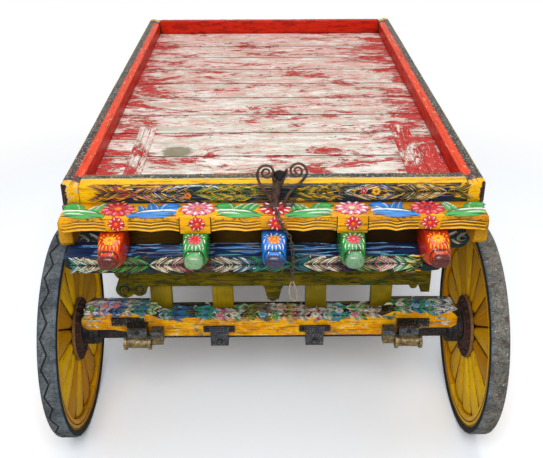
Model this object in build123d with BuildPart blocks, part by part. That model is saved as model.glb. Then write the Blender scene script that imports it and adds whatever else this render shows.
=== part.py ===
"""Four-wheeled bullock cart: a shallow planked tray on five joists, carved cross beams, a steering
front axle frame under a kingpin, a fixed rear axle frame and four spoked wheels with rubber tyres.

Frame: +Z up, the cart's front faces -Y, +X is the right-hand side seen from in front of the cart's
front end looking at its rear.  The origin is on the floor at the middle of the cart.  Millimetres.
"""

from build123d import *
from math import pi, tan
import os

os.makedirs("parts", exist_ok=True)

# ---------------------------------------------------------------- driving dimensions
WHEEL_R = 420.0            # over the tyre
TRACK = 1576.0             # between the wheels' centre planes
AXLE_Y = 787.0             # front axle at -Y, rear axle at +Y
BED_WIDTH = 1348.0         # over the side rails
BED_LENGTH = 2254.0        # over the end rails
RIM_TOP = 1203.0           # top of the rails above the floor
TRAY_DEPTH = 74.0
PLANK_THICK = 32.0
PLANK_SEAMS = (192.0, 409.0, 643.0, 851.0, 1072.0, 1275.0, 1499.0, 1712.0, 1927.0)  # behind the front
PLANK_GAP = 4.0
PLANK_EDGE = 2.0           # worn upper edges of the planks

SIDE_RAIL = 59.0           # widths of the rails round the tray
FRONT_RAIL = 82.0
REAR_RAIL = 53.0

JOIST_WIDTH = 78.0
JOIST_DEPTH = 106.0
JOIST_PITCHES = (-503.0, -243.0, 0.0, 243.0, 503.0)
PEG_REACH = 80.0           # a joist's end in front of the bolster
NOSE_REACH = 34.0          # the rounded nose in front of the peg

BOLSTER_DEPTH = 100.0      # end bolsters that cap the joists' ends
BOLSTER_HALF = 664.0
BOLSTER_DROP = 63.0        # bolster's top below the rim
BOLSTER_THICK = 55.0

CROSS_HALF = 666.0         # lower cross beams
CROSS_DEPTH = 105.0
CROSS_THICK = 61.0

FRAME_DEPTH = 100.0        # beams of the axle frames, along Y
TURN_HALF = 598.0          # steering beam's half length
TURN_TOP = 747.0
TURN_BOTTOM = 645.0
PLATE_R = 120.0            # turntable plates
PLATE_THICK = 8.0
PLATE_GAP = 1.0

AXLE_BEAM_HALF = 731.0
AXLE_BEAM_DEPTH = 110.0
AXLE_BEAM_TOP = 506.0      # in the middle
AXLE_BEAM_HUMP = 529.0     # raised ends over the axle's shoulders
AXLE_BEAM_BELLY = 419.0
AXLE_BAR = 60.0            # square iron bar of the axle
SPINDLE_R = 22.0
RUN = 0.05                 # radial running clearance
GAP = 1.0                  # between parts that lie close without bearing on each other

TYRE_WIDTH = 68.0
TYRE_THICK = 26.0
FELLOE_THICK = 42.0
FELLOE_WIDTH = 56.0
SPOKES = 16
FLANGE_R = 132.0

# ---------------------------------------------------------------- levels and edges worked out
FRONT = -BED_LENGTH / 2
REAR = BED_LENGTH / 2
FLOOR_TOP = RIM_TOP - TRAY_DEPTH
JOIST_TOP = FLOOR_TOP - PLANK_THICK
JOIST_BOTTOM = JOIST_TOP - JOIST_DEPTH
BOLSTER_TOP = RIM_TOP - BOLSTER_DROP
BOLSTER_BOTTOM = BOLSTER_TOP - BOLSTER_THICK
HUB_X = TRACK / 2
PLATE_TOP = TURN_TOP + 2 * PLATE_THICK + PLATE_GAP
BAR_TOP = WHEEL_R + AXLE_BAR / 2


def save(part, name):
    """Label one finished piece and write its STEP file."""
    part.label = name
    export_step(part, f"parts/{name}.step")


# ---------------------------------------------------------------- tray: floor planks and rails
plank_stops = (0.0, *PLANK_SEAMS, BED_LENGTH)
with BuildPart() as floor_planks:
    with BuildSketch(Plane.XY.offset(JOIST_TOP)):
        for near, far in zip(plank_stops[:-1], plank_stops[1:]):
            with Locations((0, FRONT + (near + far) / 2)):
                Rectangle(BED_WIDTH, far - near - PLANK_GAP)
    extrude(amount=PLANK_THICK)
    chamfer(floor_planks.faces().group_by(Axis.Z)[-1].edges().filter_by(Axis.X), length=PLANK_EDGE)
save(floor_planks.part, "floor_planks")

# A side rail has a small outer arris, a broad sloped inner arris and a cut outer corner at each end.
RAIL_ARRIS = 6.0
RAIL_SLOPE = (34.0, 12.0)  # width and drop of the inner arris
RAIL_CORNER_CUT = 16.0
rail_outer = BED_WIDTH / 2
rail_inner = rail_outer - SIDE_RAIL
for side, name in ((-1, "side_rail_left"), (1, "side_rail_right")):
    with BuildPart() as side_rail:
        with BuildSketch(Plane.XZ.offset(-REAR)):
            with BuildLine():
                Polyline(
                    (side * rail_outer, FLOOR_TOP),
                    (side * rail_outer, RIM_TOP - RAIL_ARRIS),
                    (side * (rail_outer - RAIL_ARRIS), RIM_TOP),
                    (side * (rail_inner + RAIL_SLOPE[0]), RIM_TOP),
                    (side * rail_inner, RIM_TOP - RAIL_SLOPE[1]),
                    (side * rail_inner, FLOOR_TOP),
                    close=True,
                )
            make_face()
        extrude(amount=BED_LENGTH)
        outer_corners = side_rail.edges().filter_by(Axis.Z).group_by(Axis.X)[0 if side < 0 else -1]
        chamfer(outer_corners, length=RAIL_CORNER_CUT)
    save(side_rail.part, name)

# An end rail: its outer arris is a broad slope, and its face stands between the side rails.
END_SLOPE_DROP = 9.0
for end, thick, name in ((-1, FRONT_RAIL, "front_rail"), (1, REAR_RAIL, "rear_rail")):
    with BuildPart() as end_rail:
        with BuildSketch(Plane.YZ.offset(-rail_inner)):
            outer = end * BED_LENGTH / 2
            with BuildLine():
                Polyline(
                    (outer, FLOOR_TOP),
                    (outer, RIM_TOP - END_SLOPE_DROP),
                    (outer - end * 0.5 * thick, RIM_TOP),
                    (outer - end * thick, RIM_TOP),
                    (outer - end * thick, FLOOR_TOP),
                    close=True,
                )
            make_face()
        extrude(amount=2 * rail_inner)
    save(end_rail.part, name)

# Two later repairs let into the floor beside the front corners: a grooved cleat and a patch board.
REPAIR_THICK = 4.0
# name, left, right, front and back edges behind the front rail's outer face
for name, x0, x1, y0, y1 in (
    ("floor_cleat_left", -520.0, -455.0, 100.0, 700.0),
    ("floor_patch_right", 466.0, 606.0, 100.0, 712.0),
):
    with BuildPart() as repair:
        with BuildSketch(Plane.XY.offset(FLOOR_TOP)):
            with Locations(((x0 + x1) / 2, FRONT + (y0 + y1) / 2)):
                Rectangle(x1 - x0, y1 - y0)
        extrude(amount=REPAIR_THICK)
        chamfer(repair.faces().sort_by(Axis.Z)[-1].edges(), length=PLANK_EDGE)
    save(repair.part, name)

# ---------------------------------------------------------------- joists with peg ends
joist_names = ("joist_red_left", "joist_green_left", "joist_blue", "joist_green_right", "joist_red_right")
PEG_ROUND = 9.0
PEG_FALL = (22.0, 8.0)     # the top falls by the second to this far behind the face, then by the first
PEG_UNDER = (30.0, 20.0)   # sloping cut under the peg's face: length and height
NOSE_SIZE = (61.0, 46.0)
NOSE_ROUND = 15.0
NOSE_RISE = 46.0           # nose's centre above the joist's underside
peg_face = BED_LENGTH / 2 + BOLSTER_DEPTH + PEG_REACH
peg_half = [
    (0, JOIST_TOP),
    (BED_LENGTH / 2, JOIST_TOP),
    (BED_LENGTH / 2, BOLSTER_BOTTOM),
    (BED_LENGTH / 2 + BOLSTER_DEPTH, BOLSTER_BOTTOM),
    (peg_face - PEG_FALL[0], BOLSTER_BOTTOM - PEG_FALL[1]),
    (peg_face, BOLSTER_BOTTOM - PEG_FALL[0]),
    (peg_face, JOIST_BOTTOM + PEG_UNDER[1]),
    (peg_face - PEG_UNDER[0], JOIST_BOTTOM),
    (0, JOIST_BOTTOM),
]
for x, name in zip(JOIST_PITCHES, joist_names):
    with BuildPart() as joist:
        with BuildSketch(Plane.YZ.offset(x - JOIST_WIDTH / 2)):
            for end in (-1, 1):
                with BuildLine():
                    Polyline(*[(end * y, z) for y, z in peg_half], close=True)
                make_face()
        extrude(amount=JOIST_WIDTH)
        for end in (-1, 1):
            peg_front = joist.faces().sort_by(Axis.Y)[0 if end < 0 else -1]
            fillet(peg_front.edges(), radius=PEG_ROUND)
            nose_plane = Plane(
                origin=(x, end * peg_face, JOIST_BOTTOM + NOSE_RISE),
                x_dir=(1, 0, 0),
                z_dir=(0, end, 0),
            )
            with BuildSketch(nose_plane):
                RectangleRounded(*NOSE_SIZE, NOSE_ROUND)
            extrude(amount=NOSE_REACH)
            tip = joist.faces().sort_by(Axis.Y)[0 if end < 0 else -1]
            fillet(tip.edges(), radius=PEG_ROUND)
    save(joist.part, name)

# Side sills carry the planks' ends, with their ends cut back underneath.
SILL_INNER = 646.0
SILL_WIDTH = 44.0
SILL_STEP = (14.0, 13.0)   # rebate outside the planks' ends: width and drop
SILL_REACH = 24.0
SILL_CUT = 18.0
sill_end = BED_LENGTH / 2 + SILL_REACH
for side, name in ((-1, "side_sill_left"), (1, "side_sill_right")):
    with BuildPart() as sill:
        with BuildSketch(Plane.YZ.offset(side * SILL_INNER)):
            with BuildLine():
                Polyline(
                    (-sill_end, JOIST_TOP - SILL_STEP[1]),
                    (sill_end, JOIST_TOP - SILL_STEP[1]),
                    (sill_end, JOIST_BOTTOM + SILL_CUT),
                    (sill_end - SILL_CUT, JOIST_BOTTOM),
                    (SILL_CUT - sill_end, JOIST_BOTTOM),
                    (-sill_end, JOIST_BOTTOM + SILL_CUT),
                    close=True,
                )
            make_face()
        extrude(amount=side * SILL_WIDTH)
        with BuildSketch(Plane.XY.offset(JOIST_TOP - SILL_STEP[1])):
            with Locations((side * (SILL_INNER + (SILL_WIDTH - SILL_STEP[0]) / 2), 0)):
                Rectangle(SILL_WIDTH - SILL_STEP[0], BED_LENGTH)
        extrude(amount=SILL_STEP[1])
    save(sill.part, name)

# Closing boards fill the spaces between the joists behind each bolster.
CLOSING_THICK = 26.0
bays = [
    (left + JOIST_WIDTH / 2, right - JOIST_WIDTH / 2)
    for left, right in zip(JOIST_PITCHES[:-1], JOIST_PITCHES[1:])
]
for end, name in ((-1, "front_closing_boards"), (1, "rear_closing_boards")):
    with BuildPart() as closing:
        with BuildSketch(Plane.XY.offset(JOIST_BOTTOM)):
            for x0, x1 in bays:
                with Locations(((x0 + x1) / 2, end * (BED_LENGTH / 2 - CLOSING_THICK / 2))):
                    Rectangle(x1 - x0, CLOSING_THICK)
        extrude(amount=JOIST_DEPTH)
    save(closing.part, name)

# ---------------------------------------------------------------- end bolsters with a wavy lower edge
WAVE = 6.0
END_ROUND = 14.0
END_TAPER = 20.0
wave_half = (90.0, 197.0, 289.0, 380.0, 503.0, BOLSTER_HALF - END_TAPER)
wave_stops = [-x for x in reversed(wave_half)] + list(wave_half)
for end, name in ((-1, "front_bolster"), (1, "rear_bolster")):
    outer_y = end * (BED_LENGTH / 2 + BOLSTER_DEPTH)
    inner_y = end * BED_LENGTH / 2
    with BuildPart() as bolster:
        with BuildSketch(Plane.XZ.offset(-max(outer_y, inner_y))):
            with BuildLine():
                for side in (-1, 1):
                    low = (side * BOLSTER_HALF, BOLSTER_BOTTOM + END_TAPER)
                    high = (side * BOLSTER_HALF, BOLSTER_TOP - END_ROUND)
                    shoulder = (side * (BOLSTER_HALF - END_ROUND), BOLSTER_TOP)
                    Line((side * (BOLSTER_HALF - END_TAPER), BOLSTER_BOTTOM), low)
                    Line(low, high)
                    RadiusArc(high, shoulder, -side * END_ROUND)
                Line((END_ROUND - BOLSTER_HALF, BOLSTER_TOP), (BOLSTER_HALF - END_ROUND, BOLSTER_TOP))
                for left, right in zip(wave_stops[:-1], wave_stops[1:]):
                    crest = ((left + right) / 2, BOLSTER_BOTTOM + WAVE)
                    ThreePointArc((left, BOLSTER_BOTTOM), crest, (right, BOLSTER_BOTTOM))
            make_face()
        extrude(amount=BOLSTER_DEPTH)
    save(bolster.part, name)

# ---------------------------------------------------------------- lower cross beams under the joists
# The front beam's right-hand end is broken off: its upper part ends first and a splinter runs on below.
CROSS_BOTTOM = JOIST_BOTTOM - CROSS_THICK
CROSS_FACE = BED_LENGTH / 2 + 85.0
END_CUT = (40.0, 24.0)     # sloping cut under a sound end: length and height
# x, z
broken_end = [
    (478, JOIST_BOTTOM),
    (484, JOIST_BOTTOM - 22),
    (470, JOIST_BOTTOM - 30),
    (498, JOIST_BOTTOM - 39),
    (536, CROSS_BOTTOM + 12),
    (528, CROSS_BOTTOM + 4),
    (492, CROSS_BOTTOM),
]
sound_end = [
    (CROSS_HALF, JOIST_BOTTOM),
    (CROSS_HALF, CROSS_BOTTOM + END_CUT[1]),
    (CROSS_HALF - END_CUT[0], CROSS_BOTTOM),
]
mirrored_end = [(-x, z) for x, z in reversed(sound_end)]
for face_y, right_end, name in (
    (CROSS_DEPTH - CROSS_FACE, broken_end, "front_cross_beam"),
    (CROSS_FACE, sound_end, "rear_cross_beam"),
):
    with BuildPart() as cross_beam:
        with BuildSketch(Plane.XZ.offset(-face_y)):
            with BuildLine():
                Polyline(*right_end, *mirrored_end, close=True)
            make_face()
        extrude(amount=CROSS_DEPTH)
    save(cross_beam.part, name)

# A second beam behind each, with scrolled round ends.
SECOND_INSET = 100.0
SECOND_SIZE = 80.0
SECOND_HALF = 672.0
second_back = BED_LENGTH / 2 - SECOND_INSET
for face_y, name in ((SECOND_SIZE - second_back, "second_cross_beam"), (second_back, "third_cross_beam")):
    with BuildPart() as second_beam:
        with BuildSketch(Plane.XZ.offset(-face_y)):
            with Locations((0, JOIST_BOTTOM - SECOND_SIZE / 2)):
                SlotOverall(2 * SECOND_HALF, SECOND_SIZE)
        extrude(amount=SECOND_SIZE)
    save(second_beam.part, name)

# ---------------------------------------------------------------- body bolsters, turntable and kingpin
BODY_BOLSTER_HALF = 480.0
BOLSTER_CUT = 60.0
KINGPIN_R = 14.0
KINGPIN_BOTTOM = 553.0
PIN_HEAD_R = 23.0
PIN_HEAD = 13.0
DROP_HALF = 44.0           # block under the steering beam that the kingpin runs through
DROP_BOTTOM = 575.0
DROP_STEP = (12.0, 24.0)
DROP_DEPTH = 70.0
for y, bottom, hole_r, name in (
    (-AXLE_Y, PLATE_TOP, KINGPIN_R, "front_body_bolster"),
    (AXLE_Y, TURN_TOP, 0, "rear_body_bolster"),
):
    with BuildPart() as body_bolster:
        with BuildSketch(Plane.XY.offset(bottom)):
            with Locations((0, y)):
                Rectangle(2 * BODY_BOLSTER_HALF, FRAME_DEPTH)
                if hole_r:
                    Circle(hole_r, mode=Mode.SUBTRACT)
        extrude(amount=JOIST_BOTTOM - bottom)
        lower_ends = body_bolster.edges().filter_by(Axis.Y).group_by(Axis.Z)[0]
        chamfer(lower_ends, length=BOLSTER_CUT)
    save(body_bolster.part, name)

plates = (
    ("turntable_plate_upper", PLATE_TOP - PLATE_THICK, KINGPIN_R),
    ("turntable_plate_lower", TURN_TOP, KINGPIN_R + RUN),
)
for name, z, hole_r in plates:
    with BuildPart() as plate:
        with BuildSketch(Plane.XY.offset(z)):
            with Locations((0, -AXLE_Y)):
                Circle(PLATE_R)
                Circle(hole_r, mode=Mode.SUBTRACT)
        extrude(amount=PLATE_THICK)
    save(plate.part, name)

with BuildPart() as kingpin:
    with BuildSketch(Plane.XY.offset(KINGPIN_BOTTOM)):
        with Locations((0, -AXLE_Y)):
            Circle(KINGPIN_R)
    extrude(amount=JOIST_BOTTOM - GAP - KINGPIN_BOTTOM)
    with BuildSketch(Plane.XY.offset(DROP_BOTTOM - GAP - PIN_HEAD)):
        with Locations((0, -AXLE_Y)):
            RegularPolygon(PIN_HEAD_R, 6)
    extrude(amount=PIN_HEAD)
save(kingpin.part, "kingpin")

# Each end of these beams is cut to two lobes with a bracket lobe inside them.  The steering beam's right
# end has lost its lower lobes to a plain strap and a small curl.
LOBE_R = 36.0
LOBE_Z = 631.0
BRACKET_R = 30.0
BRACKET_X = 509.0
STRAP_SPAN = (564.0, TURN_HALF)
STRAP_BOTTOM = 613.0
CURL_DROP_X, CURL_DROP_R = 534.0, 16.0
for end, name in ((-1, "steering_beam"), (1, "rear_axle_bolster")):
    y = end * AXLE_Y
    lobed_sides = (-1,) if name == "steering_beam" else (-1, 1)
    with BuildPart() as turn_beam:
        with BuildSketch(Plane.XZ.offset(-y - FRAME_DEPTH / 2)):
            with Locations((0, (TURN_TOP + TURN_BOTTOM) / 2)):
                Rectangle(2 * TURN_HALF - LOBE_R, TURN_TOP - TURN_BOTTOM)
            with Locations((LOBE_R - TURN_HALF, TURN_TOP - LOBE_R), (TURN_HALF - LOBE_R, TURN_TOP - LOBE_R)):
                Circle(LOBE_R)
            for side in lobed_sides:
                with Locations((side * (TURN_HALF - LOBE_R), LOBE_Z)):
                    Circle(LOBE_R)
                with Locations((side * BRACKET_X, TURN_BOTTOM - LOBE_R / 3)):
                    Circle(BRACKET_R)
            if name == "steering_beam":
                with Locations(((STRAP_SPAN[0] + STRAP_SPAN[1]) / 2, (STRAP_BOTTOM + TURN_TOP - LOBE_R) / 2)):
                    Rectangle(STRAP_SPAN[1] - STRAP_SPAN[0], TURN_TOP - LOBE_R - STRAP_BOTTOM)
                with Locations((CURL_DROP_X, TURN_BOTTOM)):
                    Circle(CURL_DROP_R)
        extrude(amount=FRAME_DEPTH)
        with BuildSketch(Plane.XZ.offset(-y - DROP_DEPTH / 2)):
            with BuildLine():
                Polyline(
                    (-DROP_HALF, TURN_BOTTOM),
                    (-DROP_HALF + DROP_STEP[0], TURN_BOTTOM - DROP_STEP[1]),
                    (-SPINDLE_R, DROP_BOTTOM),
                    (SPINDLE_R, DROP_BOTTOM),
                    (DROP_HALF - DROP_STEP[0], TURN_BOTTOM - DROP_STEP[1]),
                    (DROP_HALF, TURN_BOTTOM),
                    close=True,
                )
            make_face()
        extrude(amount=DROP_DEPTH)
        if name == "steering_beam":
            with BuildSketch(Plane.XY.offset(DROP_BOTTOM)):
                with Locations((0, y)):
                    Circle(KINGPIN_R + RUN)
            extrude(amount=TURN_TOP - DROP_BOTTOM, mode=Mode.SUBTRACT)
    save(turn_beam.part, name)

# ---------------------------------------------------------------- posts, axle beams and iron axles
BEAM_SHIFT = {-1: -13.0, 1: 0.0}    # the front beam lies a little towards the left wheel
POST_CENTRES = {-1: (-437.0, -196.0, 168.0, 425.0), 1: (-437.0, -180.0, 180.0, 437.0)}
POST_WIDTH = 82.0
POST_DEPTH = 40.0
POST_SET = 28.0            # posts stand towards the middle of the cart on the beam
HUMP_SPAN = (430.0, 480.0) # where the beam's top climbs to its raised ends
BELLY_SPAN = (485.0, 605.0)
BEAM_END_R = 28.0
BEAM_NOTCH = (22.0, 14.0)  # cut under each end: length and height
COLLAR_R = 58.0
COLLAR_SPAN = (686.0, 744.0)
SPINDLE_END = HUB_X + 54.0
BAR_CHAMFER = 5.0
beam_half = [
    (HUMP_SPAN[0], AXLE_BEAM_TOP),
    (HUMP_SPAN[1], AXLE_BEAM_HUMP),
    (AXLE_BEAM_HALF - BEAM_END_R, AXLE_BEAM_HUMP),
    (AXLE_BEAM_HALF, AXLE_BEAM_HUMP - BEAM_END_R),
    (AXLE_BEAM_HALF, BAR_TOP + BEAM_NOTCH[1]),
    (AXLE_BEAM_HALF - BEAM_NOTCH[0], BAR_TOP),
    (BELLY_SPAN[1], BAR_TOP),
    (BELLY_SPAN[0], AXLE_BEAM_BELLY),
]
beam_outline = beam_half + [(-x, z) for x, z in reversed(beam_half)]
CHANNEL_HALF = 760.0       # the channel for the iron bar runs out of both ends
for end, place in ((-1, "front"), (1, "rear")):
    y = end * AXLE_Y
    with BuildPart() as posts:
        with BuildSketch(Plane.XY.offset(AXLE_BEAM_TOP)):
            with Locations(*[(x, y - end * POST_SET) for x in POST_CENTRES[end]]):
                Rectangle(POST_WIDTH, POST_DEPTH)
        extrude(amount=TURN_BOTTOM - AXLE_BEAM_TOP)
    save(posts.part, f"{place}_axle_posts")

    with BuildPart() as axle_beam:
        with BuildSketch(Plane.XZ.offset(-y - AXLE_BEAM_DEPTH / 2)):
            with BuildLine():
                Polyline(*[(x + BEAM_SHIFT[end], z) for x, z in beam_outline], close=True)
            make_face()
        extrude(amount=AXLE_BEAM_DEPTH)
        with BuildSketch(Plane.XZ.offset(-y - AXLE_BAR / 2)):
            with Locations((0, WHEEL_R)):
                Rectangle(2 * CHANNEL_HALF, AXLE_BAR)
        extrude(amount=AXLE_BAR, mode=Mode.SUBTRACT)
        with BuildSketch(Plane.XY.offset(AXLE_BEAM_TOP)):
            with Locations(*[(x, y - end * POST_SET) for x in POST_CENTRES[end]]):
                Rectangle(POST_WIDTH, POST_DEPTH)
        extrude(amount=AXLE_BEAM_HUMP - AXLE_BEAM_TOP, mode=Mode.SUBTRACT)
        for side in (-1, 1):
            with BuildSketch(Plane.YZ.offset(side * (COLLAR_SPAN[0] - GAP))):
                with Locations((y, WHEEL_R)):
                    Circle(COLLAR_R + GAP)
            extrude(amount=side * (CHANNEL_HALF - COLLAR_SPAN[0]), mode=Mode.SUBTRACT)
    save(axle_beam.part, f"{place}_axle_beam")

    with BuildPart() as axle:
        with BuildSketch(Plane.YZ.offset(-COLLAR_SPAN[1])):
            with Locations((y, WHEEL_R)):
                Rectangle(AXLE_BAR, AXLE_BAR)
        extrude(amount=2 * COLLAR_SPAN[1])
        chamfer(axle.edges().filter_by(Axis.X), length=BAR_CHAMFER)
        for side in (-1, 1):
            for start, stop, radius in (
                (COLLAR_SPAN[0], COLLAR_SPAN[1], COLLAR_R),
                (COLLAR_SPAN[1], SPINDLE_END, SPINDLE_R),
            ):
                with BuildSketch(Plane.YZ.offset(side * start)):
                    with Locations((y, WHEEL_R)):
                        Circle(radius)
                extrude(amount=side * (stop - start))
    save(axle.part, f"{place}_axle")

# ---------------------------------------------------------------- ironwork on the front axle beam
# A shaft coupling is a plate and block on the beam's front face, with a cross sleeve between flanges
# that takes the pin of a shaft or pole, and a square nut block beside it.
BEAM_FACE_Y = -AXLE_Y - AXLE_BEAM_DEPTH / 2
COUPLING_X = 524.0
SLEEVE_SPAN = 104.0
SLEEVE_R = 23.0
SLEEVE_BORE = 12.0
SLEEVE_FLANGE_R = 30.0
FLANGE_THICK = 11.0
SLEEVE_Y = BEAM_FACE_Y - 38.0
SLEEVE_Z = 419.0
COUPLING_PLATE = (126.0, 10.0, 34.0)    # width, thickness and height
PLATE_PLACE = {-1: (38.0, -12.0), 1: (20.0, 0.0)}    # outside the sleeve's middle, below the coupling's top
COUPLING_BLOCK = (76.0, 44.0, 52.0)
NUT_BLOCK = (46.0, 44.0, 58.0)
COUPLING_TOP = 497.0
for side, name in ((-1, "shaft_coupling_left"), (1, "shaft_coupling_right")):
    x = side * COUPLING_X
    with BuildPart() as coupling:
        # size, middle's distance outside the sleeve's, top's drop below the plate's
        for size, outward, drop in (
            (COUPLING_PLATE, *PLATE_PLACE[side]),
            (COUPLING_BLOCK, 0.0, 8.0),
            (NUT_BLOCK, -(SLEEVE_SPAN + NUT_BLOCK[0]) / 2, 30.0),
        ):
            with BuildSketch(Plane.XY.offset(COUPLING_TOP - drop - size[2])):
                with Locations((x + side * outward, BEAM_FACE_Y - size[1] / 2)):
                    Rectangle(size[0], size[1])
            extrude(amount=size[2])
        for start, radius, length, mode in (
            (-SLEEVE_SPAN / 2, SLEEVE_R, SLEEVE_SPAN, Mode.ADD),
            (-SLEEVE_SPAN / 2, SLEEVE_FLANGE_R, FLANGE_THICK, Mode.ADD),
            (SLEEVE_SPAN / 2 - FLANGE_THICK, SLEEVE_FLANGE_R, FLANGE_THICK, Mode.ADD),
            (-SLEEVE_SPAN / 2, SLEEVE_BORE, SLEEVE_SPAN, Mode.SUBTRACT),
        ):
            with BuildSketch(Plane.YZ.offset(x + start)):
                with Locations((SLEEVE_Y, SLEEVE_Z)):
                    Circle(radius)
            extrude(amount=length, mode=mode)
    save(coupling.part, name)

# Axle clips: a strap on the beam's face, and a bolted stirrup that hangs under the iron bar.
CLIP_X = (-210.0, 163.0)
CLIP_TOP = 467.0
CLIP_THICK = 8.0
STRAP_SIZE = (122.0, 26.0)              # width and height
STIRRUP_WIDTH = 70.0
STIRRUP_LEGS = 28.0
STIRRUP_BASE = 12.0
CLIP_BOLT_R = 11.0
CLIP_BOLT_HEAD = 9.0
BAR_BOTTOM = WHEEL_R - AXLE_BAR / 2
stirrup_bottom = BAR_BOTTOM - GAP - STIRRUP_BASE
leg_inside = AXLE_BAR / 2 + GAP
for end, place in ((-1, "front"), (1, "rear")):
    face_y = end * (AXLE_Y + AXLE_BEAM_DEPTH / 2)
    with BuildPart() as clips:
        for clip_x in CLIP_X:
            with BuildSketch(Plane.XZ.offset(-face_y)):
                with Locations((clip_x, CLIP_TOP - STRAP_SIZE[1] / 2)):
                    Rectangle(*STRAP_SIZE)
                with Locations((clip_x, (CLIP_TOP + stirrup_bottom) / 2)):
                    Rectangle(STIRRUP_WIDTH, CLIP_TOP - stirrup_bottom)
            extrude(amount=-end * CLIP_THICK)
            with BuildSketch(Plane.YZ.offset(clip_x - STIRRUP_WIDTH / 2)):
                with BuildLine():
                    Polyline(
                        (face_y, AXLE_BEAM_BELLY),
                        (face_y, stirrup_bottom),
                        (end * (AXLE_Y - leg_inside - STIRRUP_LEGS), stirrup_bottom),
                        (end * (AXLE_Y - leg_inside - STIRRUP_LEGS), AXLE_BEAM_BELLY),
                        (end * (AXLE_Y - leg_inside), AXLE_BEAM_BELLY),
                        (end * (AXLE_Y - leg_inside), BAR_BOTTOM - GAP),
                        (end * (AXLE_Y + leg_inside), BAR_BOTTOM - GAP),
                        (end * (AXLE_Y + leg_inside), AXLE_BEAM_BELLY),
                        close=True,
                    )
                make_face()
            extrude(amount=STIRRUP_WIDTH)
            with BuildSketch(Plane.XZ.offset(-face_y - end * CLIP_THICK)):
                with Locations((clip_x, (AXLE_BEAM_BELLY + stirrup_bottom) / 2)):
                    RegularPolygon(CLIP_BOLT_R, 6)
            extrude(amount=-end * CLIP_BOLT_HEAD)
    save(clips.part, f"{place}_axle_clips")

# ---------------------------------------------------------------- rein hook on the front rail
# A tapered tube between two arms of 10 mm bar that leave its foot, swing out and curl over inwards.
HOOK_X = 22.0
HOOK_Y = FRONT - 38.0
HOOK_BAR = 5.0             # half the bar's thickness
CURL_R = 24.0
CURL_X = 50.0              # middle of a curl, from the hook's middle
CURL_Z = RIM_TOP + 64.0
FOOT_SIZE = (92.0, 40.0, 10.0)
FOOT_TOP = BOLSTER_TOP + FOOT_SIZE[2]
TUBE_TOP = RIM_TOP + 46.0
TUBE_RADII = (13.0, 20.0)
ARM_SINK = 4.0             # arms run into the foot
# distance from the hook's middle, height: an arm's foot, its bow and its top
ARM_POINTS = (
    (27.0, FOOT_TOP - ARM_SINK),
    (CURL_X + CURL_R - 9, CURL_Z - 52),
    (CURL_X + CURL_R, CURL_Z),
)
with BuildPart() as rein_hook:
    with BuildSketch(Plane.XY.offset(BOLSTER_TOP)):
        with Locations((HOOK_X, HOOK_Y)):
            RectangleRounded(FOOT_SIZE[0], FOOT_SIZE[1], 18)
    extrude(amount=FOOT_SIZE[2])
    for z, radius in ((FOOT_TOP, TUBE_RADII[0]), (TUBE_TOP, TUBE_RADII[1])):
        with BuildSketch(Plane.XY.offset(z)):
            with Locations((HOOK_X, HOOK_Y)):
                Circle(radius)
    loft()
    with BuildSketch(Plane.XZ.offset(-HOOK_Y - HOOK_BAR)):
        for side in (-1, 1):
            edges = [
                [(HOOK_X + side * (x + shift), z) for x, z in ARM_POINTS]
                for shift in (-HOOK_BAR, HOOK_BAR)
            ]
            with BuildLine():
                ThreePointArc(*edges[0])
                ThreePointArc(*edges[1])
                Line(edges[0][0], edges[1][0])
                Line(edges[0][2], edges[1][2])
            make_face()
            with Locations((HOOK_X + side * CURL_X, CURL_Z)):
                Circle(CURL_R + HOOK_BAR)
                Circle(CURL_R - HOOK_BAR, mode=Mode.SUBTRACT)
    extrude(amount=2 * HOOK_BAR)
save(rein_hook.part, "rein_hook")

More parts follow.
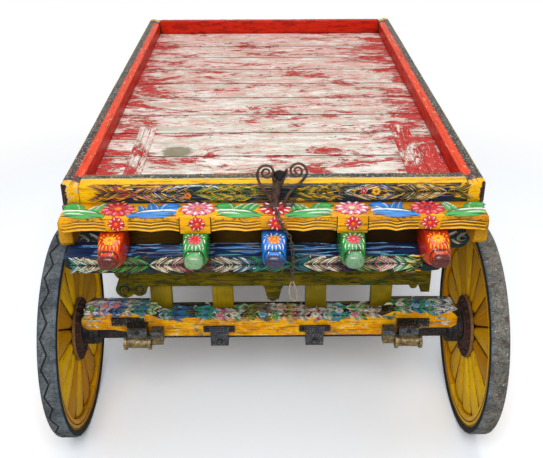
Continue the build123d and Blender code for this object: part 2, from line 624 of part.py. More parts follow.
# ---------------------------------------------------------------- wheels
RIM_R = WHEEL_R - TYRE_THICK
FELLOE_R = RIM_R - FELLOE_THICK
TYRE_ROUND = 10.0
HUB_IN = 38.0              # hub's length from the wheel's centre plane, towards the cart
HUB_OUT = 58.0
CORE_R = 62.0
CORE_RING_R = 92.0
HUB_FLANGE_THICK = 12.0
CAP_R = 48.0
CAP_REACH = 10.0
SPOKE_THICK = 34.0
SPOKE_GAP = 3.0            # between neighbouring spokes, which fill the wheel like a fan
SPOKE_ROOT_R = CORE_R + 8
SPOKE_TIP_R = FELLOE_R + 4
spoke_half = [(r, r * tan(pi / SPOKES) - SPOKE_GAP / 2) for r in (SPOKE_ROOT_R, SPOKE_TIP_R)]
spoke_outline = [(r, -w) for r, w in spoke_half] + [(r, w) for r, w in reversed(spoke_half)]
for end, place in ((-1, "front"), (1, "rear")):
    for side, hand in ((-1, "left"), (1, "right")):
        name = f"{place}_wheel_{hand}"
        wheel_plane = Plane(
            origin=(side * HUB_X, end * AXLE_Y, WHEEL_R),
            x_dir=(0, 1, 0),
            z_dir=(1, 0, 0),
        )
        with BuildPart() as tyre:
            with BuildSketch(wheel_plane.offset(-TYRE_WIDTH / 2)):
                Circle(WHEEL_R)
                Circle(RIM_R, mode=Mode.SUBTRACT)
            extrude(amount=TYRE_WIDTH)
            outer_edges = tyre.edges().filter_by(GeomType.CIRCLE).group_by(SortBy.RADIUS)[-1]
            fillet(outer_edges, radius=TYRE_ROUND)
        save(tyre.part, f"{name}_tyre")

        with BuildPart() as woodwork:
            with BuildSketch(wheel_plane.offset(-FELLOE_WIDTH / 2)):
                Circle(RIM_R)
                Circle(FELLOE_R, mode=Mode.SUBTRACT)
            extrude(amount=FELLOE_WIDTH)
            with BuildSketch(wheel_plane.offset(-SPOKE_THICK / 2)):
                with PolarLocations(0, SPOKES):
                    Polygon(*spoke_outline, align=None)
                Circle(CORE_RING_R)
                Circle(CORE_R, mode=Mode.SUBTRACT)
            extrude(amount=SPOKE_THICK)
        save(woodwork.part, f"{name}_spokes")

        with BuildPart() as hub:
            inner_end = -HUB_IN if side > 0 else -HUB_OUT
            with BuildSketch(wheel_plane.offset(inner_end)):
                Circle(CORE_R)
            extrude(amount=HUB_IN + HUB_OUT)
            for face in (-1, 1):
                with BuildSketch(wheel_plane.offset(face * SPOKE_THICK / 2)):
                    Circle(FLANGE_R)
                extrude(amount=face * HUB_FLANGE_THICK)
            with BuildSketch(wheel_plane.offset(-HUB_OUT)):
                Circle(SPINDLE_R + RUN)
            extrude(amount=2 * HUB_OUT, mode=Mode.SUBTRACT)
            with BuildSketch(wheel_plane.offset(side * HUB_OUT)):
                Circle(CAP_R)
            extrude(amount=side * CAP_REACH)
        save(hub.part, f"{name}_hub")
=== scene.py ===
import random
from math import atan2, copysign, cos, hypot, pi, radians, sin, tan

import bmesh
import bpy
from mathutils import Matrix, Vector, noise


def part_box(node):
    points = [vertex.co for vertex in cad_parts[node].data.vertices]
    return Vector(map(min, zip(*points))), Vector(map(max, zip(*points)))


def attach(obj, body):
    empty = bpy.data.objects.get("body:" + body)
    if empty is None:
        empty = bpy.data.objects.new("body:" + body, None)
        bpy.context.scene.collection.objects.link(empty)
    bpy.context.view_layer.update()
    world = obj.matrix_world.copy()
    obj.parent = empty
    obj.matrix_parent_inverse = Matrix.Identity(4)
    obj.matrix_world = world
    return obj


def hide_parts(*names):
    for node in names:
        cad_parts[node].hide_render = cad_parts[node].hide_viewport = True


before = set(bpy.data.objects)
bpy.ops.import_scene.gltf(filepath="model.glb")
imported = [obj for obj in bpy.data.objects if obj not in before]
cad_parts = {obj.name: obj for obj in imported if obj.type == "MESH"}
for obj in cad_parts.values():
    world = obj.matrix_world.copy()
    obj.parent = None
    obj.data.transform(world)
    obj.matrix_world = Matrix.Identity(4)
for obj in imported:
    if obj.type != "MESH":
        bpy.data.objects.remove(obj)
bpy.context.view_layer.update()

# ------------------------------------------------
# The studio.  A pale floor carries the cart's soft shadow, a broad lamp hangs over the front end and
# a white sky fills the sides.  The camera looks down into the tray from in front of the cart.
# ------------------------------------------------
PICTURE_WIDTH_PX = 543.0
FOCAL_PX = 786.4
SENSOR_WIDTH_MM = 36.0
CAMERA_ASIDE = -0.0225
CAMERA_SETBACK = 2.25          # in front of the tray's front edge
CAMERA_RISE = 1.031            # above the rails' top
CAMERA_YAW, CAMERA_PITCH, CAMERA_ROLL = (radians(angle) for angle in (0.396, 27.896, 0.169))
tray_low, tray_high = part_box("side_rail_left")


def put(name, data):
    """Put a new object in the scene."""
    thing = bpy.data.objects.new(name, data)
    bpy.context.scene.collection.objects.link(thing)
    return thing


forward = Vector((
    sin(CAMERA_YAW) * cos(CAMERA_PITCH),
    cos(CAMERA_YAW) * cos(CAMERA_PITCH),
    -sin(CAMERA_PITCH),
))
level = Vector((cos(CAMERA_YAW), -sin(CAMERA_YAW), 0))
sunk = forward.cross(level)
rightward = cos(CAMERA_ROLL) * level + sin(CAMERA_ROLL) * sunk
downward = cos(CAMERA_ROLL) * sunk - sin(CAMERA_ROLL) * level
camera_data = bpy.data.cameras.new("studio_camera")
camera_data.sensor_width = SENSOR_WIDTH_MM
camera_data.lens = FOCAL_PX / PICTURE_WIDTH_PX * SENSOR_WIDTH_MM
camera_data.clip_end = 60
camera = put("studio_camera", camera_data)
camera_place = Vector((CAMERA_ASIDE, tray_low.y - CAMERA_SETBACK, tray_high.z + CAMERA_RISE))
camera_turn = Matrix((rightward, -downward, -forward)).transposed().to_4x4()
camera.matrix_world = Matrix.Translation(camera_place) @ camera_turn
bpy.context.scene.camera = camera
bpy.context.scene.view_settings.view_transform = "Standard"


def connect(tree, node, inputs):
    """Set a node's inputs, or link them to a socket or to another node's first output."""
    for socket, value in inputs.items():
        if isinstance(value, bpy.types.Node):
            value = value.outputs[0]
        if isinstance(value, bpy.types.NodeSocket):
            tree.links.new(value, node.inputs[socket])
        else:
            node.inputs[socket].default_value = value


def add_node(tree, kind, inputs=None, **settings):
    """Add one node with its settings, and set or link its inputs by name or number."""
    node = tree.nodes.new(kind)
    for key, value in settings.items():
        setattr(node, key, value)
    connect(tree, node, inputs or {})
    return node


SKY_FILL = 0.40                # strength of the sky as a light; it shows as plain white
WHITE = (1, 1, 1, 1)
world = bpy.data.worlds.new("white_sky")
world.use_nodes = True
tree = world.node_tree
tree.nodes.clear()
light_path = add_node(tree, "ShaderNodeLightPath").outputs
lit_sky = add_node(tree, "ShaderNodeBackground", {"Color": WHITE, "Strength": SKY_FILL})
shown_sky = add_node(tree, "ShaderNodeBackground", {"Color": WHITE, "Strength": 1.0})
seen = light_path["Is Camera Ray"]
for mirrored in ("Is Glossy Ray", "Is Transmission Ray"):
    seen = add_node(tree, "ShaderNodeMath", {0: seen, 1: light_path[mirrored]}, operation="MAXIMUM")
sky = add_node(tree, "ShaderNodeMixShader", {0: seen, 1: lit_sky, 2: shown_sky})
add_node(tree, "ShaderNodeOutputWorld", {"Surface": sky})
bpy.context.scene.world = world

LAMP_SIZE = 3.0
# name, place, aim, watts
for lamp_name, place, aim, watts in (
    ("front_softbox", (-0.3, -4.5, 4.0), (0, -0.5, 0.9), 192.0),
    ("top_softbox", (0.3, 0.6, 4.8), (0, 0.0, 0.9), 80.0),
):
    lamp_data = bpy.data.lights.new(lamp_name, "AREA")
    lamp_data.shape = "DISK"
    lamp_data.size = LAMP_SIZE
    lamp_data.energy = watts
    lamp = put(lamp_name, lamp_data)
    lamp.location = place
    lamp.rotation_euler = (Vector(aim) - Vector(place)).to_track_quat("-Z", "Y").to_euler()

FLOOR_HALF = 14.0
FLOOR_SHOWN = (1.16, 1.21, 1.27, 1.0)  # as the camera sees it, just past white where nothing shades it
FLOOR_BOUNCE = (0.72, 0.72, 0.72, 1)   # as it lights the underside of the cart
SHADOW_REACH = (1.9, 3.2)      # from the middle of the cart, where the shadow has faded to plain white
floor_mesh = bpy.data.meshes.new("floor")
floor_corners = [(x * FLOOR_HALF, y * FLOOR_HALF, 0) for x, y in ((-1, -1), (1, -1), (1, 1), (-1, 1))]
floor_mesh.from_pydata(floor_corners, [], [(0, 1, 2, 3)])
floor = put("floor", floor_mesh)
floor_material = bpy.data.materials.new("matt_white_floor")
floor_material.use_nodes = True
tree = floor_material.node_tree
tree.nodes.clear()
seen = add_node(tree, "ShaderNodeLightPath").outputs["Is Camera Ray"]
shown_floor = add_node(tree, "ShaderNodeBsdfDiffuse", {"Color": FLOOR_SHOWN})
lit_floor = add_node(tree, "ShaderNodeBsdfDiffuse", {"Color": FLOOR_BOUNCE})
shaded_floor = add_node(tree, "ShaderNodeMixShader", {0: seen, 1: lit_floor, 2: shown_floor})
spot = add_node(tree, "ShaderNodeTexCoord").outputs["Object"]
spread = add_node(tree, "ShaderNodeVectorMath", {0: spot}, operation="LENGTH").outputs["Value"]
far = add_node(
    tree, "ShaderNodeMapRange", {"Value": spread, "From Min": SHADOW_REACH[0], "From Max": SHADOW_REACH[1]},
    interpolation_type="SMOOTHSTEP",
)
far_and_seen = add_node(tree, "ShaderNodeMath", {0: far, 1: seen}, operation="MULTIPLY")
plain_white = add_node(tree, "ShaderNodeEmission", {"Color": WHITE, "Strength": 1.0})
whole_floor = add_node(tree, "ShaderNodeMixShader", {0: far_and_seen, 1: shaded_floor, 2: plain_white})
add_node(tree, "ShaderNodeOutputMaterial", {"Surface": whole_floor})
floor_mesh.materials.append(floor_material)

# ------------------------------------------------
# Axle beams and their posts.  Each axle's iron bar lies under a heavy sawn beam with raised ends, and
# four posts carry the beam above it.  The wood is painted yellow, chipped to grey along its edges.
# ------------------------------------------------
MM = 0.001
ENDS = ((-1, "front", "front_axle_frame"), (1, "rear", "body"))     # end, name, what the axle rides on


def linear(code):
    """Turn an sRGB hex colour into linear red, green, blue and full opacity."""
    channels = [int(code[i:i + 2], 16) / 255 for i in (1, 3, 5)]
    return tuple(c / 12.92 if c <= 0.04045 else ((c + 0.055) / 1.055) ** 2.4 for c in channels) + (1.0,)


def lay(tree, under, over, mask, share=1.0):
    """Lay one colour over another where a mask shows, up to a share.  Colours are sRGB codes or sockets."""
    if share != 1.0:
        mask = add_node(tree, "ShaderNodeMath", {0: mask, 1: share}, operation="MULTIPLY")
    under, over = (linear(colour) if isinstance(colour, str) else colour for colour in (under, over))
    return add_node(tree, "ShaderNodeMix", {0: mask, 6: under, 7: over}, data_type="RGBA").outputs[2]


def above(tree, value, threshold, softness):
    """A mask that turns from 0 to 1 where a value passes the threshold."""
    reach = {"Value": value, "From Min": threshold - softness, "From Max": threshold + softness}
    return add_node(tree, "ShaderNodeMapRange", reach, interpolation_type="SMOOTHSTEP")


def patches(tree, size_mm, detail=4.0, rough=0.6, shift=0.0, warp=0.0, layer=None):
    """Noise whose blotches are about size_mm long along X, Y and Z, or along the mesh's own layer."""
    if layer:
        place = add_node(tree, "ShaderNodeAttribute", attribute_name=layer).outputs["Vector"]
    else:
        place = add_node(tree, "ShaderNodeTexCoord").outputs["Object"]
    scale = [1 / (side * MM) for side in size_mm]
    moved = {"Vector": place, "Location": (shift, 1.7 * shift, -0.9 * shift), "Scale": scale}
    spread = add_node(tree, "ShaderNodeMapping", moved)
    fineness = {"Vector": spread, "Scale": 1.0, "Detail": detail, "Roughness": rough, "Distortion": warp}
    return add_node(tree, "ShaderNodeTexNoise", fineness)


def mottle(tree, under, over, size_mm, threshold, softness, share=1.0, **pattern):
    """Blotches of one colour over another."""
    return lay(tree, under, over, above(tree, patches(tree, size_mm, **pattern), threshold, softness), share)


def weighed(tree, *terms, start=0.0):
    """Add up patterns, each times its weight or times another pattern."""
    for value, weight in terms:
        start = add_node(tree, "ShaderNodeMath", {0: value, 1: weight, 2: start}, operation="MULTIPLY_ADD")
    return start


def start_finish(name):
    """A new material, with its node tree and its shader."""
    material = bpy.data.materials.new(name)
    material.use_nodes = True
    return material, material.node_tree, material.node_tree.nodes["Principled BSDF"]


def end_finish(tree, shader, colour, relief, strength, depth_mm, inputs):
    """Give a shader its colour, its relief and its other inputs."""
    bump = {"Height": relief, "Strength": strength, "Distance": depth_mm * MM}
    connect(tree, shader, {"Base Color": colour, "Normal": add_node(tree, "ShaderNodeBump", bump), **inputs})


CRACK_BROWN, FLAKE_EDGE_BROWN, GREY_WOOD = "#2E2012", "#2A1E14", "#5E5548"


def painted_timber(name, coat, worn_coat, bare, along, chipped=0.5, edges=0.5, gloss=0.42, colour=None,
                   dirt_and_shade=0.6, crevice=60.0, cracks=0.5, layer=None, shade="#1E140C", shine=0.14):
    """Brushed enamel on sawn wood: streaks along the grain, chips to bare wood, rubbed arrises, and dirt with
    painted shade in the hollows.

    along is the grain's axis, 0 to 2.  chipped and edges run from 0, sound, to 1, nearly bare.  colour, where
    given, is a function of the node tree that returns the coat's colour.  layer names the mesh's own grain
    directions, for wood whose grain turns.  shine is the specular level.
    """
    material, tree, shader = start_finish(name)

    def drawn(across_mm, along_mm, **pattern):
        size = [across_mm] * 3
        size[along] = along_mm
        return patches(tree, size, layer=layer, **pattern)

    if colour:
        paint = colour(tree)
    else:
        paint = mottle(tree, coat, worn_coat, (240, 240, 240), 0.5, 0.12, detail=3.0, shift=3.1, layer=layer)
    grain = drawn(6.0, 160.0, detail=6.0)
    paint = lay(tree, paint, worn_coat, above(tree, grain, 0.62, 0.12))
    splits = drawn(3.2, 120.0, detail=3.0, rough=0.75, shift=12.0, warp=0.3)
    crack = above(tree, splits, 0.70 - 0.10 * cracks, 0.03)
    paint = lay(tree, paint, CRACK_BROWN, crack, 0.85)
    flakes = drawn(17.0, 62.0, detail=7.0, rough=0.68, shift=7.7, warp=0.6)
    soft_normal = add_node(tree, "ShaderNodeBevel", {"Radius": 5 * MM}, samples=4)
    sharp_normal = add_node(tree, "ShaderNodeNewGeometry").outputs["Normal"]
    flatness = add_node(
        tree, "ShaderNodeVectorMath", {0: soft_normal, 1: sharp_normal}, operation="DOT_PRODUCT",
    ).outputs["Value"]
    arris = above(tree, weighed(tree, (flatness, -1.0), start=1.0), 0.05, 0.045)
    rubbed = weighed(tree, (arris, 0.34 * edges), start=flakes)
    chip_edge = 0.80 - 0.26 * chipped
    chip = above(tree, rubbed, chip_edge, 0.012)
    paint = lay(tree, paint, FLAKE_EDGE_BROWN, above(tree, rubbed, chip_edge - 0.022, 0.012), 0.6)
    wood = lay(tree, bare, GREY_WOOD, above(tree, grain, 0.5, 0.2))
    surface = lay(tree, paint, wood, chip)
    # Dirt and painted shade: ambient occlusion darkens hollows, joints and cuts towards the shade colour.
    hollow = add_node(tree, "ShaderNodeAmbientOcclusion", {"Distance": crevice * MM}, samples=6).outputs["AO"]
    dirt_and_painted_shade = weighed(tree, (above(tree, hollow, 0.5, 0.42), -1.0), start=1.0)
    surface = lay(tree, surface, shade, dirt_and_painted_shade, dirt_and_shade)
    rough = add_node(tree, "ShaderNodeMapRange", {"Value": chip, "To Min": gloss, "To Max": 0.85})
    sunk = add_node(tree, "ShaderNodeMath", {0: chip, 1: crack}, operation="MAXIMUM")
    relief = weighed(tree, (grain, 0.35), (sunk, -1.0))
    end_finish(tree, shader, surface, relief, 0.55, 1.2, {"Roughness": rough, "Specular IOR Level": shine})
    return material


def mounted(name, mesh, body, slot, replaced=None):
    """Put a finished mesh in the scene as a piece that rides with a body."""
    piece = put(name, mesh)
    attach(piece, body)
    if replaced:
        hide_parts(replaced)
    return piece


def smoothed(work, name, materials, body, slot, crease, replaced=None):
    """Turn a mesh in the making into a smooth piece, with sharp edges past the crease angle."""
    bmesh.ops.recalc_face_normals(work, faces=work.faces)
    mesh = bpy.data.meshes.new(name)
    work.to_mesh(mesh)
    work.free()
    for material in materials:
        mesh.materials.append(material)
    mesh.shade_smooth()
    mesh.set_sharp_from_angle(angle=radians(crease))
    return mounted(name, mesh, body, slot, replaced)


def drift_at(place):
    """A smooth push to either side in X, Y and Z, the same each run."""
    return Vector([noise.noise(place + Vector((9.3, -1.5, 7.9)) * axis) for axis in (1, 2, 3)])


def triangulated(work):
    """Triangulate the faces, and put edges and faces in an order that is the same each run."""
    bmesh.ops.triangulate(work, faces=work.faces)
    work.verts.index_update()
    for parts in (work.edges, work.faces):
        ranked = sorted(parts, key=lambda part: sorted(vertex.index for vertex in part.verts))
        ranks = {part: rank for rank, part in enumerate(ranked)}
        parts.sort(key=ranks.get)


def sawn(node, material, body, slot, rounding=3.0, wander=1.2, step=90.0):
    """Replace a CAD node by the same timber with rubbed arrises and the slight wander of old sawn wood."""
    work = bmesh.new()
    work.from_mesh(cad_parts[node].data)
    bmesh.ops.remove_doubles(work, verts=work.verts, dist=0.02 * MM)
    bmesh.ops.dissolve_limit(work, angle_limit=radians(2), verts=work.verts, edges=work.edges)
    arrises = [edge for edge in work.edges if edge.is_manifold and edge.calc_face_angle() > radians(24)]
    bmesh.ops.bevel(
        work, geom=arrises, offset=rounding * MM, offset_type="OFFSET", segments=2, profile=0.5,
        affect="EDGES", clamp_overlap=True,
    )
    triangulated(work)
    for _ in range(7):
        long_edges = [edge for edge in work.edges if edge.calc_length() > step * MM]
        if not long_edges:
            break
        bmesh.ops.subdivide_edges(work, edges=long_edges, cuts=1)
        triangulated(work)
    for vertex in work.verts:
        vertex.co += (drift_at(vertex.co * 2.3) * 0.65 + drift_at(vertex.co * 11.0) * 0.35) * wander * MM
    smoothed(work, f"{node}_wood", [material], body, slot, crease=38, replaced=node)


def upward(tree):
    """How far a face looks up."""
    normal = add_node(tree, "ShaderNodeNewGeometry").outputs["Normal"]
    return add_node(tree, "ShaderNodeSeparateXYZ", {0: normal}).outputs["Z"]


def axle_colour(tree):
    """Blotched yellow faces, and a near-black ground on top under the carved leaves."""
    blotch = patches(tree, (60, 34, 34), detail=6.0, rough=0.7, shift=2.0, warp=0.5)
    yellow = lay(tree, "#F2B000", "#D98C04", above(tree, blotch, 0.50, 0.06))
    pale = patches(tree, (34, 20, 20), detail=7.0, rough=0.72, shift=5.0, warp=0.7)
    yellow = lay(tree, yellow, "#E8CC8C", above(tree, pale, 0.60, 0.02), 0.85)
    ground = lay(tree, "#121A18", "#26402E", above(tree, pale, 0.5, 0.06))
    ground = lay(tree, ground, "#3C2C20", above(tree, blotch, 0.58, 0.04))
    return lay(tree, yellow, ground, above(tree, upward(tree), 0.45, 0.10))


yellow_axle_paint = painted_timber(
    "chipped_yellow_axle_enamel", "#EDA900", "#C98A08", "#A8A096", along=0, chipped=0.70, edges=0.7,
    cracks=0.9, colour=axle_colour,
)
post_paint = painted_timber(
    "dull_yellow_post_enamel", "#B8960A", "#7E6E0C", "#6A6048", along=2, chipped=0.35,
)
for _, end_name, axle_body in ENDS:
    sawn(f"{end_name}_axle_beam", yellow_axle_paint, axle_body, "carved_paint", rounding=5.0, wander=2.0)
    sawn(f"{end_name}_axle_posts", post_paint, axle_body, "yellow_paint")

# Carved leaves cover the axle beams' top faces, each picked out in its own enamel with a lighter tip.
ENAMELS = {
    "white": "#E9E6DC", "cream": "#DCCB9C", "yellow": "#F2B406", "orange": "#E8741A", "red": "#CB2027",
    "pink": "#DD7F96", "maroon": "#741C33", "brown": "#70482A", "olive": "#7C7A22", "lime": "#93B84C",
    "green": "#38A048", "moss": "#2C5A34", "teal": "#17787F", "sky": "#5FA9DA", "blue": "#127ACC",
    "navy": "#182A56", "grey": "#7F8482", "black": "#16191C",
}


def painted_in(tree):
    """The colour that a mesh's corners carry."""
    return add_node(tree, "ShaderNodeVertexColor", layer_name="paint").outputs["Color"]


def carved_enamel(name, wear=0.35, gloss=0.38):
    """Thick enamel over carved wood: each stroke's own colour, dirt and painted shade in the cuts, chips to
    grey wood.
    """
    return painted_timber(
        name, "#FFFFFF", "#6A6256", "#9C9284", along=0, chipped=wear, edges=0.25, gloss=gloss,
        colour=painted_in, dirt_and_shade=0.95, crevice=13.0, cracks=0.2, shade="#120E0C", shine=0.35,
    )


def start_carving():
    """A mesh in the making whose corners carry the colour of their stroke."""
    work = bmesh.new()
    work.loops.layers.float_color.new("paint")
    return work


def flat_face(end, y, z, on_top=False):
    """Place millimetres along, up and out of a beam's outer face, or along, in and up from its top."""
    along = Vector((-end, 0, 0))
    up = Vector((0, -end, 0) if on_top else (0, 0, 1))
    out = along.cross(up)
    return lambda u, v, rise: Vector((0, y, z)) + (along * u + up * v + out * rise) * MM


def folded_face(end, origin, arris=7.0, climb=0.0):
    """The same for a top face, level or climbing, whose negative v runs over the outer arris and down."""
    along, back, top = Vector((-end, 0, 0)), Vector((0, -end, 0)), Vector((0, 0, 1))

    def place(u, v, rise):
        turn = min(max((arris - v) / (2 * arris), 0.0), 1.0) * pi / 2
        out = top * cos(turn) - back * sin(turn)
        if v > arris:
            spot = back * v + top * climb * (v - arris)
        elif v < -arris:
            spot = top * (v + 2 * arris - arris * pi / 2 - arris * 0.43)
        else:
            spot = back * (arris - arris * sin(turn)) - top * (arris - arris * cos(turn))
        return Vector(origin) + (along * u + spot + out * rise) * MM

    return place


def end_face(node, end):
    """A node's lowest and highest corners, and where its side towards an end of the cart lies."""
    low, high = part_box(node)
    return low, high, low.y if end < 0 else high.y


def midway(first, second, aside=0.0, off=0.0):
    """The point halfway between two, moved along and off."""
    return (first[0] + second[0]) / 2 + aside, (first[1] + second[1]) / 2 + off


def within(value, span):
    """Keep a distance inside a span."""
    return min(max(value, span[0]), span[1])


def bend(start, middle, end, count=5):
    """Points along a curve that leaves start towards middle and arrives at end."""
    return [
        tuple((1 - t) ** 2 * a + 2 * t * (1 - t) * b + t * t * c for a, b, c in zip(start, middle, end))
        for t in (i / (count - 1) for i in range(count))
    ]


def skin(work, rings, closed=False):
    """Join rings of vertices by faces, the last to the first where closed.  A ring may be a single vertex.

    Each face comes with its place round the ring.
    """
    faces = []
    for near, far in zip(rings, rings[1:] + rings[:1] if closed else rings[1:]):
        count = max(len(near), len(far))
        for k in range(count):
            after = k + 1
            quad = [near[k % len(near)], near[after % len(near)], far[after % len(far)], far[k % len(far)]]
            corners = list(dict.fromkeys(quad))
            if len(corners) > 2:
                faces.append((k, work.faces.new(corners)))
    return faces


SUNK = -0.8                    # a stroke's edges lie this far inside the wood
POINTED = 0.04                 # below this share of its width a stroke ends in a point


def stroke(work, face, path, width, rise, base, tip=None, blunt=0.0):
    """Carve one closed, crowned ribbon along a path: pointed at both ends, or blunt."""
    layer = work.loops.layers.float_color["paint"]
    base_colour, tip_colour = (Vector(linear(ENAMELS[shade])) for shade in (base, tip or base))
    last = len(path) - 1
    rings = []
    for i, (u, v) in enumerate(path):
        fullness = max(sin(pi * (i / last) ** 0.85) ** 0.6 if 0 < i < last else 0.0, blunt)
        before, after = path[max(i - 1, 0)], path[min(i + 1, last)]
        du, dv = after[0] - before[0], after[1] - before[1]
        length = hypot(du, dv) or 1.0
        half = 0.5 * width * fullness
        side = (-dv / length * half, du / length * half)
        if fullness < POINTED:
            rings.append([work.verts.new(face(u, v, 0.0))])
            continue
        lift = rise * min(1.0, 0.35 + fullness)
        rings.append([
            work.verts.new(face(u + side[0] * across, v + side[1] * across, level))
            for across, level in ((-1, SUNK), (-0.6, 0.72 * lift), (0, lift), (0.6, 0.72 * lift), (1, SUNK))
        ])
    share = {vertex: i / last for i, ring in enumerate(rings) for vertex in ring}
    for _, face_made in skin(work, rings):
        for loop in face_made.loops:
            loop[layer] = base_colour.lerp(tip_colour, share[loop.vert])
    for ring in (rings[0], rings[-1]):
        if len(ring) > 1:
            for loop in work.faces.new(ring).loops:
                loop[layer] = base_colour


def dome(work, face, u, v, radius, rise, colour, sides=10):
    """A round boss."""
    layer = work.loops.layers.float_color["paint"]
    turns = [2 * pi * k / sides for k in range(sides)]
    rings = [
        [work.verts.new(face(u + r * cos(turn), v + r * sin(turn), level)) for turn in turns]
        for r, level in ((radius, SUNK), (0.85 * radius, 0.6 * rise), (0.4 * radius, rise))
    ]
    made = [work.faces.new(rings[0][::-1]), work.faces.new(rings[-1])]
    for part in made + [side for _, side in skin(work, rings)]:
        for loop in part.loops:
            loop[layer] = linear(ENAMELS[colour])


WIDE = (-2000, 2000)


def feather(work, face, start, end, middle, half_height, colours, count, width, rise, lean, span=WIDE):
    """A leaf of paired strokes that leave a middle line and lean towards its end, all inside a span."""
    reach = end - start
    for i in range(count):
        root = start + reach * i / count
        tall = half_height * (0.62 + 0.38 * sin(pi * (i + 0.6) / count))
        tip = within(root + reach / count * 2.2 * lean, span)
        first, second = colours[i % len(colours)], colours[(i + 1) % len(colours)]
        for side in (-1, 1):
            bent = ((root + tip) / 2, middle + side * 0.7 * tall)
            path = bend((root, middle + side), bent, (tip, middle + side * tall))
            stroke(work, face, path, width, rise, first, second, blunt=0.15)


def flower(work, face, u, v, radius, petals, petal, light, heart, rise, turn=0.0, squash=1.0):
    """Petals round a boss, each with a light stroke laid on it."""
    petal_width = 2.3 * radius * sin(pi / petals)
    for k in range(petals):
        angle = turn + 2 * pi * k / petals
        ahead, aside = radius * cos(angle), radius * sin(angle) * squash
        for near, far, count, width, height, shade in (
            (0.18, 1.0, 5, petal_width, rise, petal), (0.5, 0.98, 4, 0.26 * radius, rise + 1.2, light),
        ):
            root, tip = ((u + share * ahead, v + share * aside) for share in (near, far))
            stroke(work, face, bend(root, midway(root, tip), tip, count), width, height, shade, blunt=0.3)
    dome(work, face, u, v, 0.27 * radius, rise + 1.5, heart)


def finish_carving(work, name, material, body):
    """Turn finished strokes into a piece that rides with the beam under it."""
    smoothed(work, name, [material], body, "carved_paint", crease=50)


carving_enamel = carved_enamel("thick_carved_enamel")
worn_carving_enamel = carved_enamel("worn_carved_enamel", wear=0.34, gloss=0.42)
draw = random.Random(11)
vary, pick = draw.uniform, draw.choice


def strewn(us, vs, ahead, aside, off, span, way=1):
    """A short bent path that starts anywhere in two spans, and how far off its tip and middle lie."""
    u, v = way * vary(*us), vary(*vs)
    tip = (within(u + way * vary(*ahead), span), v + vary(*aside))
    return bend((u, v), ((u + tip[0]) / 2, v + vary(*off)), tip)


LEAF_MARGIN = 10.0             # bare wood past the last leaf
RAISED_FROM = 455.0            # from the middle to where the beam's ends rise
END_RISE = 23.0
# from, to (mm from the middle), the leaf's colours
AXLE_LEAVES = (
    (-722, -665, "grey white pink"), (-672, -620, "blue white pink"), (-625, -575, "navy blue grey"),
    (-580, -530, "pink green white"), (-535, -480, "green blue grey"), (-485, -440, "green lime white"),
    (-440, -385, "white green moss"), (-300, -385, "navy teal blue"), (-300, -220, "teal green sky"),
    (-225, -160, "maroon white pink"), (-165, -110, "green white moss"), (-110, -50, "olive brown lime"),
    (-55, 0, "maroon grey olive"), (0, 45, "white cream grey"), (45, 95, "yellow pink green"),
    (95, 150, "green pink white"), (150, 205, "maroon white red"), (200, 245, "white cream grey"),
    (305, 240, "teal green sky"), (300, 365, "white lime green"), (360, 425, "cream brown white"),
    (420, 480, "navy grey green"), (475, 545, "green moss white"), (540, 600, "navy green blue"),
    (595, 650, "blue green lime"), (722, 655, "grey white navy"),
)
AXLE_FLOWERS = (("green", "lime"), ("white", "cream"), ("sky", "white"), ("pink", "white"))
END_SHADES = ("white", "navy", "green", "grey", "cream", "blue", "teal", "moss")
for end, end_name, axle_body in ENDS:
    beam_low, beam_high, edge_y = end_face(f"{end_name}_axle_beam", end)
    half_beam = (beam_high.x - beam_low.x) / 2 / MM
    span = (LEAF_MARGIN - half_beam, half_beam - LEAF_MARGIN)
    beam_x = (beam_low.x + beam_high.x) / 2
    low_face, high_face = (
        folded_face(end, (beam_x, edge_y, beam_high.z - drop * MM)) for drop in (END_RISE, 0)
    )
    work = start_carving()
    for start, stop, names in AXLE_LEAVES:
        face = high_face if abs((start + stop) / 2) > RAISED_FROM else low_face
        colours = names.split()
        for low, high, row in ((start, stop, 62), (start + 8, stop - 8, 12)):
            middle = row + vary(-6, 6)
            feather(work, face, low, high, middle, 27, colours, 5, width=9, rise=4.5, lean=1.4, span=span)
        for _ in range(7):
            path = strewn(sorted((start, stop)), (-24, 92), (-42, 42), (-16, 18), (8, 22), span)
            light = pick(("white", "cream", colours[1], colours[2]))
            stroke(work, face, path, vary(4, 8), 7.0, pick(colours), light)
        if draw.random() < 0.45:
            petal, light = pick(AXLE_FLOWERS)
            flower(work, face, (start + stop) / 2, vary(0, 50), 17, 6, petal, light, "yellow", rise=7.5)
    # Both ends are carved down their faces too.
    for side in (-1, 1):
        for _ in range(34):
            path = strewn((half_beam - 70, span[1]), (-66, 80), (-12, -34), (-9, 9), (-8, 8), span, side)
            shade = pick(END_SHADES)
            stroke(work, high_face, path, vary(5, 9), 5.5, shade, pick(("white", shade)))
    finish_carving(work, f"{end_name}_axle_leaves", worn_carving_enamel, axle_body)

# ------------------------------------------------
# Steering frame.  The steering beam turns under the body's front bolster on two greased iron plates
# round a kingpin; the rear axle's bolster is built the same but bolted fast.  All are painted dull olive
# with moss; the dark olive is painted shade of the body above.
# ------------------------------------------------
def shaded_beam_colour(tree):
    """Olive brown all over, painted shade of the body above it, with patches of moss and red."""
    coat = mottle(
        tree, "#7C6A0C", "#4A4410", (110, 30, 30), 0.52, 0.08, detail=6.0, rough=0.7, shift=4.0, warp=0.5,
    )
    moss = patches(tree, (60, 24, 24), detail=6.0, rough=0.7, shift=8.0)
    coat = lay(tree, coat, "#24401E", above(tree, moss, 0.56, 0.06), 0.8)
    return lay(tree, coat, "#8E2A14", above(tree, moss, 0.66, 0.03), 0.7)


shade_darkened_olive_paint = painted_timber(
    "shade_darkened_mossy_beam_enamel", "#6E6010", "#3E3A10", "#4E4838", along=0, chipped=0.35, cracks=0.9,
    colour=shaded_beam_colour, shine=0.04,
)
